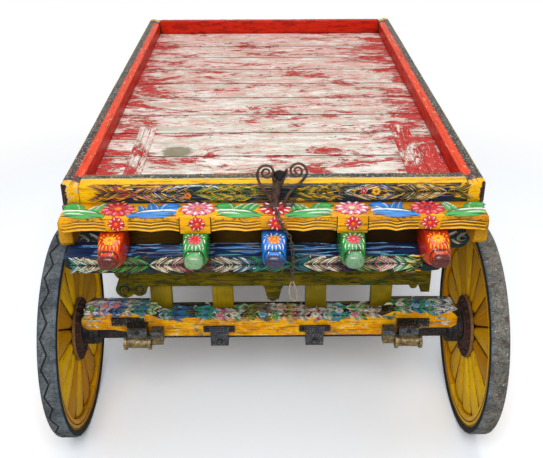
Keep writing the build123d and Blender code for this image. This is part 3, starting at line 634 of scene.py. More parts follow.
# end, node, what it rides on
STEERING_BEAMS = ((-1, "steering_beam", "front_axle_frame"), (1, "rear_axle_bolster", "body"))
for _, node, beam_body in STEERING_BEAMS:
    sawn(node, shade_darkened_olive_paint, beam_body, "yellow_paint", rounding=8.0, wander=2.0)
for bolster_node in ("front_body_bolster", "rear_body_bolster"):
    sawn(bolster_node, shade_darkened_olive_paint, "body", "yellow_paint")

# Carved scrolls follow the lobes at the steering beam's left end; mossy strokes run along the beam.
# x, height, radius of each scroll (mm) and the way it turns
LOBE_SCROLLS = ((-562, 711, 33, 1), (-562, 631, 34, -1), (-509, 633, 28, 1))
for end, node, beam_body in STEERING_BEAMS:
    outer_y = end_face(node, end)[2]
    face = flat_face(end, outer_y, 0)
    work = start_carving()
    for x, height, reach, way in LOBE_SCROLLS:
        for inset, width, shade in ((0, 6.0, "moss"), (9, 4.5, "black"), (17, 5.0, "olive")):
            path = []
            for k in range(15):
                angle = radians(-100 + 23 * k)
                radius = (reach - inset) * (1 - 0.035 * k)
                path.append((x + way * radius * cos(angle), height + radius * sin(angle)))
            stroke(work, face, path, width, 4.0, shade, blunt=0.5)
        dome(work, face, x, height, 6.0, 5.0, "brown")
    for _ in range(70):
        path = strewn((-520, 560), (652, 738), (-60, 60), (-8, 8), (-10, 10), (-590, 590))
        shade = pick(("moss", "olive", "black", "moss", "brown", "green"))
        stroke(work, face, path, vary(3, 6), 2.4, shade)
    finish_carving(work, f"{node}_scrolls", worn_carving_enamel, beam_body)

# Axle bars, turntable plates and kingpin are forged and rolled iron.
SCALE_GREY = "#4A4C4E"


def ironwork(name, dark, rust, rusty=0.5, gloss=0.5):
    """Forged or rolled iron: dark scale with rust blooming through it, dull where it rusts."""
    material, tree, shader = start_finish(name)
    bloom = patches(tree, (28, 28, 28), detail=6.0, rough=0.7, warp=0.4)
    fine = patches(tree, (5, 5, 5), shift=4.0)
    rusted = above(tree, weighed(tree, (fine, 0.25), start=bloom), 0.80 - 0.35 * rusty, 0.07)
    worn = lay(tree, dark, SCALE_GREY, above(tree, fine, 0.55, 0.2))
    metal = weighed(tree, (rusted, -0.75), start=0.75)
    rough = add_node(tree, "ShaderNodeMapRange", {"Value": rusted, "To Min": gloss, "To Max": 0.9})
    colour = lay(tree, worn, rust, rusted)
    end_finish(tree, shader, colour, bloom, 0.5, 1.0, {"Metallic": metal, "Roughness": rough})
    return material


def finish_nodes(material, *nodes):
    """Give CAD nodes their finish."""
    for node in nodes:
        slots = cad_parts[node].data.materials
        slots.clear()
        slots.append(material)


black_iron = ironwork("black_forged_iron", "#17191C", "#3A2A22", rusty=0.35)
rusty_iron = ironwork("rusted_forged_iron", "#1E1715", "#402419", rusty=0.8)
finish_nodes(black_iron, "front_axle", "rear_axle", "turntable_plate_upper", "turntable_plate_lower")
finish_nodes(rusty_iron, "kingpin")

# Couplings for the shafts: a black plate on the beam's face, a grey box and a greasy turned sleeve below.
SLEEVE_ZONE = 55.0             # from the coupling's lowest point up to the box
PLATE_ZONE = 90.0              # and up to the plate
GREASE_BROWN, RUBBED_BRIGHT, JOINT_SHADE_BLACK = "#2A1E16", "#C8BC9C", "#0E0C0B"


def coupling_iron(name, low_z, sleeve, block, plate):
    """Iron greased and rubbed to a brass colour on the sleeve, blue grey on the box, black on the plate, with
    painted shade blackening its joints.
    """
    material, tree, shader = start_finish(name)
    place = add_node(tree, "ShaderNodeTexCoord").outputs["Object"]
    height = add_node(tree, "ShaderNodeSeparateXYZ", {0: place}).outputs["Z"]
    blotch = patches(tree, (18, 12, 12), detail=6.0, rough=0.7, warp=0.6)
    colour = lay(tree, sleeve, block, above(tree, height, low_z + SLEEVE_ZONE * MM, 2 * MM))
    colour = lay(tree, colour, plate, above(tree, height, low_z + PLATE_ZONE * MM, 2 * MM))
    colour = lay(tree, colour, GREASE_BROWN, above(tree, blotch, 0.50, 0.05), 0.75)
    colour = mottle(tree, colour, RUBBED_BRIGHT, (5, 5, 5), 0.62, 0.04, 0.5, shift=4.0)
    # Painted shade: ambient occlusion blackens the joints and hollows.
    hollow = add_node(tree, "ShaderNodeAmbientOcclusion", {"Distance": 18 * MM}, samples=6).outputs["AO"]
    colour = lay(tree, colour, JOINT_SHADE_BLACK, above(tree, weighed(tree, (hollow, -1.0), start=1.0), 0.45, 0.3))
    end_finish(tree, shader, colour, blotch, 0.6, 1.2, {"Metallic": 0.35, "Roughness": 0.45})
    return material


for iron_name, shades, *pair in (
    ("greasy_coupling_iron", ("#8C7748", "#4E565C", "#131518"),
     "shaft_coupling_left", "shaft_coupling_right"),
    ("blue_black_clip_iron", ("#3E4650", "#2A3442", "#101216"), "front_axle_clips", "rear_axle_clips"),
):
    finish_nodes(coupling_iron(iron_name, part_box(pair[0])[0].z, *shades), *pair)


def new_tree(name, *sockets):
    """A geometry tree with its named inputs and one geometry output."""
    tree = bpy.data.node_groups.new(name, "GeometryNodeTree")
    for socket_name, kind in sockets:
        tree.interface.new_socket(socket_name, in_out="INPUT", socket_type=f"NodeSocket{kind}")
    tree.interface.new_socket("Geometry", in_out="OUTPUT", socket_type="NodeSocketGeometry")
    return tree, add_node(tree, "NodeGroupInput").outputs


def joined(tree, *parts):
    """Several geometries as one."""
    whole = add_node(tree, "GeometryNodeJoinGeometry")
    for part in parts:
        tree.links.new(part.outputs[0], whole.inputs[0])
    return whole


def end_tree(tree, geometry, finish):
    """Realize a tree's instances, give them their finish and hand them out."""
    realized = add_node(tree, "GeometryNodeRealizeInstances", {"Geometry": geometry})
    finished = add_node(tree, "GeometryNodeSetMaterial", {"Geometry": realized, "Material": finish})
    add_node(tree, "NodeGroupOutput", {"Geometry": finished})


def evaluated_mesh(holder):
    """Keep what a curve or a modifier makes as a plain mesh, and remove what made it."""
    bpy.context.view_layer.update()
    mesh = bpy.data.meshes.new_from_object(holder.evaluated_get(bpy.context.evaluated_depsgraph_get()))
    holder.modifiers.clear()
    bpy.data.objects.remove(holder)
    return mesh


def grown(name, tree, body, slot, path, **values):
    """Run a geometry tree over a path of points in mm, and keep the result as a plain piece."""
    seed_mesh = bpy.data.meshes.new(f"{name}_seed")
    seed_mesh.from_pydata([Vector(p) * MM for p in path], [(i, i + 1) for i in range(len(path) - 1)], [])
    holder = put(f"{name}_seed", seed_mesh)
    modifier = holder.modifiers.new("grow", "NODES")
    modifier.node_group = tree
    for item in tree.interface.items_tree:
        if item.in_out == "INPUT" and item.name in values:
            modifier[item.identifier] = values[item.name]
    mounted(name, evaluated_mesh(holder), body, slot)


# Nuts hold the coupling plates and the clips' straps; the floor's nails have the same crowned heads.
stud_tree, given = new_tree(
    "nut_and_nail_heads", ("Places", "Geometry"), ("Facing", "Vector"), ("Sides", "Int"),
    ("Head Radius", "Float"), ("Head Height", "Float"), ("Wander", "Vector"), ("Finish", "Material"),
)
collar = add_node(stud_tree, "ShaderNodeMath", {0: given["Head Radius"], 1: 0.62}, operation="MULTIPLY")
head = add_node(
    stud_tree, "GeometryNodeMeshCylinder",
    {"Vertices": given["Sides"], "Radius": given["Head Radius"], "Depth": given["Head Height"]},
)
crown = add_node(
    stud_tree, "GeometryNodeMeshCone",
    {"Vertices": 10, "Radius Top": 1 * MM, "Radius Bottom": collar, "Depth": given["Head Height"]},
)
half_head = add_node(stud_tree, "ShaderNodeMath", {0: given["Head Height"], 1: 0.5}, operation="MULTIPLY")
lift = add_node(stud_tree, "ShaderNodeCombineXYZ", {"Z": half_head})
raised_crown = add_node(stud_tree, "GeometryNodeTransform", {"Geometry": crown, "Translation": lift})
strayed = add_node(
    stud_tree, "FunctionNodeRandomValue", {"Min": (-1, -1, -1), "Max": (1, 1, 1), "Seed": 4},
    data_type="FLOAT_VECTOR",
)
stray = add_node(stud_tree, "ShaderNodeVectorMath", {0: strayed, 1: given["Wander"]}, operation="MULTIPLY")
places = add_node(stud_tree, "GeometryNodeSetPosition", {"Geometry": given["Places"], "Offset": stray})
studs = add_node(
    stud_tree, "GeometryNodeInstanceOnPoints",
    {"Points": places, "Instance": joined(stud_tree, head, raised_crown), "Rotation": given["Facing"]},
)
turn = add_node(
    stud_tree, "FunctionNodeRandomValue", {"Max": (0, 0, 2 * pi), "Seed": 9}, data_type="FLOAT_VECTOR",
)
turned = add_node(stud_tree, "GeometryNodeRotateInstances", {"Instances": studs, "Rotation": turn})
end_tree(stud_tree, turned, given["Finish"])

NUT_R, NUT_HIGH = 9.0, 6.0
STRAP_PROUD = 9                # the straps' thickness on the beam's face
STRAP_NUT_UP = 454
CLIP_PLACES, STRAP_HALF = (-210, 163), 48
# across, out from the front beam's face, up
COUPLING_NUTS = ((-600, 11, 492), (-524, 45, 466), (588, 11, 480), (524, 45, 466))
for end, end_name, clip_body in ENDS:
    beam_face = end_face(f"{end_name}_axle_beam", end)[2] / MM
    nuts = [
        (clip_x + across, beam_face + end * STRAP_PROUD, STRAP_NUT_UP)
        for clip_x in CLIP_PLACES for across in (-STRAP_HALF, STRAP_HALF)
    ]
    if end < 0:
        nuts += [(across, beam_face - out, up) for across, out, up in COUPLING_NUTS]
    grown(
        f"{end_name}_axle_nuts", stud_tree, clip_body, "black_iron", nuts,
        **{"Facing": (-end * pi / 2, 0, 0), "Sides": 6, "Head Radius": NUT_R * MM,
           "Head Height": NUT_HIGH * MM, "Wander": (0, 0, 0), "Finish": black_iron},
    )

# ------------------------------------------------
# Body frame.  Five joists run the cart's length and end in painted pegs; beams cross under them near
# each end, sills lie outside them and boards close the bays behind the bolsters.
# ------------------------------------------------
PEG_FACE, PEG_END = 1.307, 1.341       # the nose's start and end, from the middle of the cart
# from the cart's middle (m), half width, top and bottom above the joist's underside, corner radius (mm)
PEG_RINGS = (
    (1.229, 39, 94, 0, 8), (1.250, 38.5, 92.5, 0, 12), (1.270, 37.5, 89, 2, 16),
    (1.288, 35.5, 84, 7, 19), (1.299, 33.5, 79.5, 12, 21), (1.305, 31.5, 76, 16, 22),
    (1.308, 28, 72, 20, 22), (1.310, 27, 71, 22, 21), (1.312, 29.5, 73, 21, 21),
    (1.322, 30, 72, 21.5, 20), (1.331, 28.5, 69.5, 23, 20), (1.337, 25.5, 65, 26, 18),
    (1.3405, 20, 60, 32, 13),
)
JOIST_PITCHES = (-503, -243, 0, 243, 503)
JOIST_HALF = 39.0
BOLSTER_BACK = 1.127           # where the joist steps down under the bolster
STEP = 0.5 * MM
JOIST_DEEP, NOTCHED_DEEP, JOIST_ARRIS = 106.0, 94.0, 5.0
CORNER_POINTS = 5


def rounded_ring(work, x, base_z, y, half, top, bottom, radius):
    """One rounded-rectangle ring of a joist, square to the cart's length."""
    points = []
    for corner_x, corner_z, start in (
        (half - radius, top - radius, 0), (radius - half, top - radius, 90),
        (radius - half, bottom + radius, 180), (half - radius, bottom + radius, 270),
    ):
        for k in range(CORNER_POINTS):
            angle = radians(start + 90 * k / (CORNER_POINTS - 1))
            points.append((corner_x + radius * cos(angle), corner_z + radius * sin(angle)))
    return [work.verts.new((x + u * MM, y, base_z + z * MM)) for u, z in points]


def peg_top(x, base_z, end):
    """Millimetres across, back from the peg's end and out of its rounded top face."""
    def place(u, v, rise):
        y = PEG_END - v * MM
        for near, far in zip(PEG_RINGS[:-1], PEG_RINGS[1:]):
            if y <= far[0]:
                break
        share = min(max((y - near[0]) / (far[0] - near[0]), 0.0), 1.0)
        half, top, _, radius = (a + (b - a) * share for a, b in zip(near[1:], far[1:]))
        angle = min(max(abs(u) - (half - radius), 0.0) / radius, 1.45)
        slope = atan2((near[2] - far[2]) * MM, far[0] - near[0])
        across = copysign(min(abs(u), half - radius) + (radius + rise) * sin(angle), u)
        height = top - radius * (1 - cos(angle)) + rise * cos(angle)
        return Vector((x - end * across * MM, end * (y + rise * MM * sin(slope)), base_z + height * MM))

    return place


def spots(tree):
    """Where a point of a piece lies in the cart: X, Y and Z, and its distances from the middle."""
    place = add_node(tree, "ShaderNodeTexCoord").outputs["Object"]
    axes = add_node(tree, "ShaderNodeSeparateXYZ", {0: place}).outputs
    far = [add_node(tree, "ShaderNodeMath", {0: axes[axis]}, operation="ABSOLUTE") for axis in ("X", "Y")]
    return axes["X"], axes["Y"], axes["Z"], *far


def peg_coat(coat, worn_coat, tip_colour):
    """The peg's coat, with a black ring behind the nose and a bare, blackened end."""
    def colour(tree):
        along = spots(tree)[4]
        ragged = patches(tree, (16, 16, 16), detail=5.0, rough=0.7, shift=6.0)
        paint = mottle(tree, coat, worn_coat, (26, 40, 26), 0.56, 0.08, detail=5.0, shift=2.0)
        past_ring = above(tree, along, PEG_FACE - 1.5 * MM, 1.5 * MM)
        before_nose = above(tree, weighed(tree, (along, -1.0), start=PEG_FACE + 7 * MM), 0.0, 1.5 * MM)
        paint = lay(tree, paint, "#14100E", weighed(tree, (past_ring, before_nose)))
        tip = above(tree, weighed(tree, (ragged, 26 * MM), start=along), PEG_END + 1 * MM, 3 * MM)
        return lay(tree, paint, tip_colour, tip, 0.95)

    return colour


# From a sprig's root over its middle to its tip, beside the peg's middle line: across, back from the end.
PEG_FAN = tuple(
    tuple((across * sin(a), 80 + back * cos(a)) for across, back in ((24, 16), (28, 22), (33, 30)))
    for a in (0.3, 0.8, 1.25)
)
PEG_SPRIGS = (
    ((27, 78), (32, 72), (33, 62)), ((24, 58), (30, 50), (28, 40)), ((12, 54), (18, 47), (19, 37)),
    ((5, 51), (7, 43), (5, 34)), ((14, 31), (19, 26), (18, 19)),
)
# node, coat, worn coat, worn tip, slot, petals, petals' light, heart
for node, coat, worn_coat, tip_colour, slot, petal, petal_light, heart in (
    ("joist_red_left", "#D4360E", "#A82410", "#33190F", "red_paint", "yellow", "orange", "orange"),
    ("joist_green_left", "#2E9440", "#1A6A2C", "#7C9C74", "green_paint", "red", "pink", "red"),
    ("joist_blue", "#1876D0", "#12509C", "#33241E", "blue_paint", "orange", "cream", "yellow"),
    ("joist_green_right", "#2E9440", "#14602A", "#6E9070", "green_paint", "red", "pink", "pink"),
    ("joist_red_right", "#D4360E", "#A82410", "#33190F", "red_paint", "yellow", "orange", "orange"),
):
    peg_paint = painted_timber(
        f"glossy_{slot[:-6]}_enamel_{node[-5:]}", coat, worn_coat, "#8A7C6C", along=1, chipped=0.18,
        edges=0.3, gloss=0.18, colour=peg_coat(coat, worn_coat, tip_colour), dirt_and_shade=0.7, cracks=0.1, shine=0.45,
    )
    joist_low, joist_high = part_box(node)
    joist_x = (joist_low.x + joist_high.x) / 2
    work = bmesh.new()
    under_tray = [
        (y, JOIST_HALF, JOIST_DEEP, 0.0, JOIST_ARRIS)
        for y in (STEP - BOLSTER_BACK, -0.6, 0.0, 0.6, BOLSTER_BACK - STEP)
    ]
    end_rings = ((BOLSTER_BACK + STEP, JOIST_HALF, NOTCHED_DEEP, 0.0, JOIST_ARRIS), *PEG_RINGS)
    rings = [(-y, *sizes) for y, *sizes in reversed(end_rings)] + under_tray + list(end_rings)
    made = [rounded_ring(work, joist_x, joist_low.z, *ring) for ring in rings]
    skin(work, made)
    work.faces.new(made[0])
    work.faces.new(made[-1])
    bmesh.ops.remove_doubles(work, verts=work.verts, dist=0.02 * MM)
    smoothed(work, f"{node}_wood", [peg_paint], "body", slot, crease=42, replaced=node)

    work = start_carving()
    for end in (-1, 1):
        face = peg_top(joist_x, joist_low.z, end)
        flower(work, face, 0, 75, 22, 9, petal, petal_light, heart, rise=1.2)
        for side in (-1, 1):
            for sprig in PEG_FAN + PEG_SPRIGS:
                path = bend(*((side * across, back) for across, back in sprig))
                stroke(work, face, path, 4.8, 1.1, "white" if slot != "red_paint" else "yellow", blunt=0.2)
    finish_carving(work, f"{node}_flowers", carving_enamel, "body")


def cross_beam_colour(tree):
    """Streaked blue on top; near black with teal and maroon stains on the faces, under the carving."""
    top = mottle(
        tree, "#1C3C64", "#201C3C", (120, 14, 14), 0.50, 0.06, detail=6.0, rough=0.7, shift=3.0, warp=0.5,
    )
    stain = patches(tree, (70, 26, 26), detail=6.0, rough=0.7, shift=11.0, warp=0.6)
    face = lay(tree, "#12181C", "#14322E", above(tree, stain, 0.50, 0.05))
    face = lay(tree, face, "#3A1A22", above(tree, stain, 0.60, 0.03))
    return lay(tree, face, top, above(tree, upward(tree), 0.5, 0.2))


beam_paint = painted_timber(
    "dark_streaked_beam_enamel", "#1C3C60", "#1E1C3C", "#7E7A74", along=0, chipped=0.3, edges=0.4,
    colour=cross_beam_colour,
)
sill_paint = painted_timber(
    "chipped_sill_enamel", "#C8900C", "#7A5C18", "#6C6254", along=1,
)
# The closing boards' dark brown yellow is painted shade under the bolsters.
shaded_yellow_paint = painted_timber(
    "shade_darkened_yellow_board_enamel", "#5C4008", "#34220A", "#2E2318", along=0, chipped=0.3, edges=0.4, cracks=0.8,
)
for nodes, material, slot, rounding, wander in (
    ("front_cross_beam rear_cross_beam second_cross_beam third_cross_beam",
     beam_paint, "carved_paint", 4.0, 2.0),
    ("side_sill_left side_sill_right", sill_paint, "yellow_paint", 4.0, 1.5),
    ("front_closing_boards rear_closing_boards", shaded_yellow_paint, "yellow_paint", 2.0, 1.2),
):
    for node in nodes.split():
        sawn(node, material, "body", slot, rounding=rounding, wander=wander)

# Chevron leaves are cut along the cross beams' faces and long wavy strokes along their tops.
BEAM_SPAN = (-652, 652)
BROKEN_END = 474               # where the front beam's right end has broken off
# from, to (mm from the middle), the leaf's colours
CROSS_LEAVES = (
    (-650, -610, "teal green white"), (-604, -640, "teal moss white"), (-548, -604, "cream brown white"),
    (-500, -548, "green brown cream"), (-450, -500, "green moss lime"), (-395, -450, "moss green brown"),
    (-395, -350, "white brown cream"), (-350, -300, "cream white maroon"), (-325, -272, "maroon brown pink"),
    (-270, -215, "maroon moss brown"), (-212, -165, "maroon teal brown"), (-112, -168, "white brown cream"),
    (-60, -112, "teal navy white"), (-10, -60, "teal green navy"), (55, 0, "green teal olive"),
    (52, 100, "teal moss navy"), (95, 150, "white cream brown"), (148, 196, "cream maroon white"),
    (190, 235, "navy black maroon"), (232, 290, "green maroon lime"), (288, 350, "maroon pink green"),
    (395, 350, "white pink cream"), (445, 395, "green white moss"), (474, 445, "green moss lime"),
)
REAR_LEAVES = ((500, 560, "teal green white"), (560, 610, "moss brown cream"), (610, 655, "teal white navy"))
WAVE_SHADES = ("navy", "blue", "navy", "blue", "teal", "sky", "navy", "grey")
for end, node, leaves, stop_at in (
    (-1, "front_cross_beam", CROSS_LEAVES, BROKEN_END),
    (1, "rear_cross_beam", CROSS_LEAVES + REAR_LEAVES, 700),
):
    beam_low, beam_high, outer_y = end_face(node, end)
    work = start_carving()
    face = flat_face(end, outer_y, (beam_low.z + beam_high.z) / 2)
    for start, stop, names in leaves:
        colours = names.split()
        count = max(3, round(abs(stop - start) / 9))
        feather(work, face, start, stop, 0, 29, colours, count, width=6.5, rise=3.5, lean=1.9, span=BEAM_SPAN)
        for _ in range(7):
            u, v = vary(min(start, stop), max(start, stop)), vary(-26, 26)
            tip = (within(u + vary(-22, 22), BEAM_SPAN), v + vary(-14, 14))
            shade = pick((*colours, "moss", "black", "maroon", "olive"))
            stroke(work, face, bend((u, v), (u, v + 5), tip, 4), 4, 4.5, shade)
    if end < 0:
        # Bare splinters at the broken end.
        for _ in range(26):
            u, v = stop_at - vary(18, 60), vary(-32, 30)
            tip = (min(u + vary(14, 44), stop_at - 1), v + vary(-4, 4))
            shade = pick(("cream", "brown", "olive", "cream", "yellow", "black"))
            path = bend((u, v), ((u + tip[0]) / 2, v), tip, 4)
            stroke(work, face, path, vary(3, 6), 5.0, shade, blunt=0.1)
    top_face = flat_face(end, outer_y, beam_high.z, on_top=True)
    for _ in range(150):
        u, v = vary(-640, stop_at - 110), vary(4, 96)
        under_peg = any(abs(u + 30 - pitch) < 66 for pitch in JOIST_PITCHES)
        reach = vary(25, 45) if under_peg else vary(60, 110)
        path = bend((u, v), (u + reach / 2, v + vary(-14, 14)), (u + reach, v + vary(-8, 8)), 6)
        shade = pick(WAVE_SHADES)
        stroke(work, top_face, path, vary(4, 8), 2.5, shade, pick(("navy", "sky", shade)))
    finish_carving(work, f"{node}_leaves", worn_carving_enamel, "body")

# The inner cross beams' ends are carved with a leaf scroll: two curls, a fan of leaves, pale strokes.
# in from the beam's end, rise of the tip, colour, tip's colour
FAN_LEAVES = (
    (128, -20, "moss", "green"), (112, 22, "grey", "white"), (94, -24, "olive", "cream"),
    (76, 26, "moss", "white"), (58, -22, "grey", "cream"), (40, 24, "moss", "grey"),
)
for end, node in ((-1, "second_cross_beam"), (1, "third_cross_beam")):
    beam_low, beam_high, outer_y = end_face(node, end)
    face = flat_face(end, outer_y, (beam_low.z + beam_high.z) / 2)
    reach = beam_high.x / MM - 8
    work = start_carving()
    for side in (-1, 1):
        for inward, rise_to, shade, tip_shade in FAN_LEAVES:
            root, tip = (side * (reach - inward), 0), (side * (reach - inward + 34), rise_to)
            leaf = bend(root, ((root[0] + tip[0]) / 2 - side * 6, 0.7 * rise_to), tip, 6)
            stroke(work, face, leaf, 11, 4.0, shade, tip_shade, blunt=0.2)
            stroke(work, face, [(u + side * 4, 0.86 * v) for u, v in leaf], 3, 5.0, "cream", blunt=0.2)
        for turn in (-1, 1):
            curl = [
                (side * (reach - 26 + (20 - 0.05 * a) * cos(radians(a))),
                 turn * (12 - 0.03 * a) * sin(radians(a)))
                for a in range(0, 271, 30)
            ]
            stroke(work, face, curl, 5, 4.5, "grey", "white", blunt=0.3)
        stem = [(side * (reach - inward), v) for inward, v in ((140, 2), (70, -3), (8, 2))]
        stroke(work, face, stem, 5, 4.6, "teal", "moss")
    finish_carving(work, f"{node}_leaves", worn_carving_enamel, "body")

# ------------------------------------------------
# End bolsters.  A sawn beam with a scalloped lower edge caps the joists at each end.  Its top carries
# thick painted scrolls and flowers, its face follows the scallops in cut grooves between two blocks.
# ------------------------------------------------
bolster_paint = painted_timber(
    "bright_yellow_bolster_enamel", "#F0AC00", "#C88404", "#C0AE90", along=0, chipped=0.4, edges=0.35,
    cracks=0.9, shine=0.22,
)
SCALLOPS = (90, 197, 289, 380, 503, 644)
SCALLOP_DEPTH = 6.0
BLOCK_PITCH = 243.0
BLOCK_WIDTH = 94.0
BLOCK_PROUD = 4.0
# The black line beside each block is painted shade of the gap at the block's edge.
BLOCK_GAP = BLOCK_WIDTH / 2 + 1.5      # from a block's middle to the dark line beside it


def scallop(u):
    """Height of the lower edge above its lowest points."""
    stops = [-x for x in reversed(SCALLOPS)] + list(SCALLOPS)
    for left, right in zip(stops[:-1], stops[1:]):
        if left <= u <= right:
            share = (u - left) / (right - left)
            return SCALLOP_DEPTH * 4 * share * (1 - share)
    return 0.0


def scroll(work, face, bulb, point, base, dark, flicks):
    """A thick painted scroll: a curled bulb, a long body that thins to a point, flicks and light lines."""
    way = copysign(1.0, point - bulb)
    reach = abs(point - bulb)
    line_dark, line_light = ("moss", "white") if base == "green" else ("navy", "sky")

    def on(share, ahead=0.0):
        return bulb + way * (share * reach + ahead)

    turn = [
        (bulb + way * (27 - r * cos(radians(a))), 54 + r * sin(radians(a)))
        for a, r in ((255, 37), (225, 36), (190, 33), (150, 30), (110, 27), (70, 25), (30, 22))
    ]
    stroke(work, face, turn, 40, 6.0, base, blunt=0.6)
    stroke(work, face, bend((on(0, 14), 26), (on(0.42), 26), (point, 6), 10), 54, 5.0, base, blunt=0.3)
    inner = bend((on(0.06), 56), (on(0.5), 42), (point - way * 12, 20), 8)
    stroke(work, face, inner, 40, 5.5, base, dark, blunt=0.25)
    for share, tall, lean in flicks:
        root, middle = (on(share), 32), (on(share, 0.2 * lean), 0.7 * tall)
        stroke(work, face, bend(root, middle, (on(share, lean), tall), 6), 26, 5.5, base, base, blunt=0.1)
        lit = [(u - way * 1.5, v) for u, v in bend(root, middle, (on(share, lean), tall - 6), 6)]
        stroke(work, face, lit, 4.5, 8.0, "white", blunt=0.2)
    light = bend((on(0.04), 34), (on(0.45), 40), (on(0.84), 20), 8)
    stroke(work, face, light, 8.5, 8.0, "white", blunt=0.2)
    stroke(work, face, [(u - way * 6, v - 20) for u, v in light[1:6]], 4, 8.0, line_light, blunt=0.2)
    stroke(work, face, turn[1:5], 6, 8.6, "white", blunt=0.2)
    under = bend((on(0, 10), 6), (on(0.4), 8), (point - way * 8, -2), 8)
    stroke(work, face, under, 5, 3.5, line_dark, blunt=0.2)


def ray(work, face, u, v, angle, near, far, aside, width, rise, shade, count=4, blunt=0.0):
    """A stroke outwards from one oval to a wider one round a flower's middle."""
    root, tip = ((u + wide * cos(angle), v + tall * sin(angle)) for wide, tall in (near, far))
    stroke(work, face, bend(root, midway(root, tip, aside), tip, count), width, rise, shade, blunt=blunt)


# bulb, point, colours, flicks: place along the body, height, lean
SCROLLS = (
    (-664, -522, "green", "moss", ((0.78, 92, 26), (0.62, 74, 30))),
    (-290, -452, "blue", "navy", ((0.42, 93, 26), (0.56, 94, 12), (0.70, 78, 22))),
    (-187, -40, "green", "moss", ((0.42, 82, 34), (0.60, 92, 38), (0.76, 84, 30))),
    (190, 34, "green", "moss", ((0.52, 80, 36), (0.66, 92, 34), (0.80, 86, 26))),
    (296, 448, "blue", "navy", ((0.30, 62, -26), (0.46, 94, 22), (0.60, 97, 18))),
    (668, 526, "green", "moss", ((0.70, 90, 34), (0.84, 82, 22))),
)
# place, petals, their edge, light, heart
TOP_FLOWERS = (
    (-486, "red", "maroon", "pink", "orange"), (-237, "pink", "red", "white", "orange"),
    (6, "red", "maroon", "white", "pink"), (244, "pink", "red", "white", "cream"),
    (481, "red", "maroon", "pink", "maroon"),
)
# height of each roll and groove, width, rise, colour
ROLLS = (
    (6, 9, 2.6, "yellow"), (12.5, 2.6, 3.0, "brown"), (18, 8, 2.4, "yellow"), (23.5, 2.4, 2.8, "brown"),
    (28.5, 6.5, 2.2, "yellow"), (33, 2.2, 2.4, "brown"),
)
BAYS = ((-655, -520), (-450, -293), (-193, -40), (40, 193), (293, 448), (515, 655))
for end, end_name, _ in ENDS:
    node = f"{end_name}_bolster"
    sawn(node, bolster_paint, "body", "yellow_paint", rounding=6.0, wander=1.5, step=60.0)
    bolster_low, bolster_high, outer_y = end_face(node, end)
    top_face = flat_face(end, outer_y, bolster_high.z, on_top=True)

    # Two blocks are planted on the bolster's face over the green pegs.
    block_size = (BLOCK_WIDTH * MM, 2 * BLOCK_PROUD * MM, bolster_high.z - bolster_low.z + 1 * MM)
    block_z = (bolster_low.z + bolster_high.z) / 2 - 2 * MM
    work = bmesh.new()
    for side in (-1, 1):
        made = bmesh.ops.create_cube(work, size=1.0)["verts"]
        bmesh.ops.scale(work, verts=made, vec=block_size)
        bmesh.ops.translate(work, verts=made, vec=(side * BLOCK_PITCH * MM, outer_y, block_z))
    bmesh.ops.bevel(work, geom=work.edges[:], offset=2 * MM, segments=2, profile=0.5, affect="EDGES")
    smoothed(work, f"{end_name}_bolster_blocks", [bolster_paint], "body", "yellow_paint", crease=40)

    work = start_carving()
    for bulb, point, base, dark, flicks in SCROLLS:
        scroll(work, top_face, bulb, point, base, dark, flicks)
    for place, petal, edge, light, heart in TOP_FLOWERS:
        for k in range(46):
            ray(
                work, top_face, place, 50, 2 * pi * (k + draw.random()) / 46, (24, 24),
                (vary(50, 66), vary(42, 50)), vary(-4, 4), 10, 2.2,
                pick(("maroon", "maroon", edge, "red", "orange")),
            )
        flower(work, top_face, place, 52, 52, 11, petal, light, heart, rise=5.0, squash=0.9)
        for k in range(11):
            ray(work, top_face, place, 52, 2 * pi * (k + 0.5) / 11, (16, 14), (37, 33), 0, 4, 6.0, edge)
        proud = BLOCK_PROUD if abs(abs(place) - BLOCK_PITCH) < 20 else 0.0
        low_face = flat_face(end, outer_y + end * proud * MM, bolster_low.z)
        for k in range(20):
            ray(
                work, low_face, place, 32, 2 * pi * (k + draw.random()) / 20, (8, 8),
                (vary(26, 34), vary(20, 24)), 0, 7, 2.2,
                pick(("maroon", "red", "maroon", "orange")),
            )
        flower(work, low_face, place, 31, 25, 8, "red", "white", "orange", rise=3.5, turn=0.2)
        for k in range(8):
            angle = 2 * pi * k / 8
            ray(work, low_face, place, 30, angle, (12, 12), (26, 24), 0, 4, 3.0, "maroon", count=3, blunt=0.3)
    finish_carving(work, f"{end_name}_bolster_scrolls", carving_enamel, "body")

    # Rounded yellow rolls follow the scallops between raised brown lines that are painted shade of cut
    # grooves; black lines beside the blocks are painted shade of their gaps; small cuts hatch the strip above
    # them.
    face = flat_face(end, outer_y, bolster_low.z)
    work = start_carving()
    for left, right in BAYS:
        us = [left + (right - left) * k / 18 for k in range(19)]
        for level, width, rise, shade in ROLLS:
            path = [(u, scallop(u) * (1.2 if level > 10 else 1.0) + level + 0.6 * sin(u / 9)) for u in us]
            stroke(work, face, path, width, rise, shade, blunt=0.6)
        for _ in range(int((right - left) / 5)):
            u, v = vary(left, right), vary(35, 50)
            tip = (u + vary(4, 12), v + vary(-3, 5))
            shade = pick(("brown", "brown", "olive", "orange"))
            stroke(work, face, [(u, v), ((u + tip[0]) / 2, v + 1), tip], 2.2, 1.6, shade, blunt=0.2)
    for pitch in (-BLOCK_PITCH, BLOCK_PITCH):
        for edge in (pitch - BLOCK_GAP, pitch + BLOCK_GAP):
            stroke(work, face, [(edge, 4), (edge + 0.6, 28), (edge, 53)], 3.2, 2.6, "black", blunt=0.6)
    finish_carving(work, f"{end_name}_bolster_grooves", carving_enamel, "body")

# ------------------------------------------------
# Tray.  Ten broad planks lie across the joists; their red paint is worn to pale wood in flakes that
# follow the grain.  Two repairs are nailed beside the front corners.
# ------------------------------------------------
floor_low, floor_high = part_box("floor_planks")
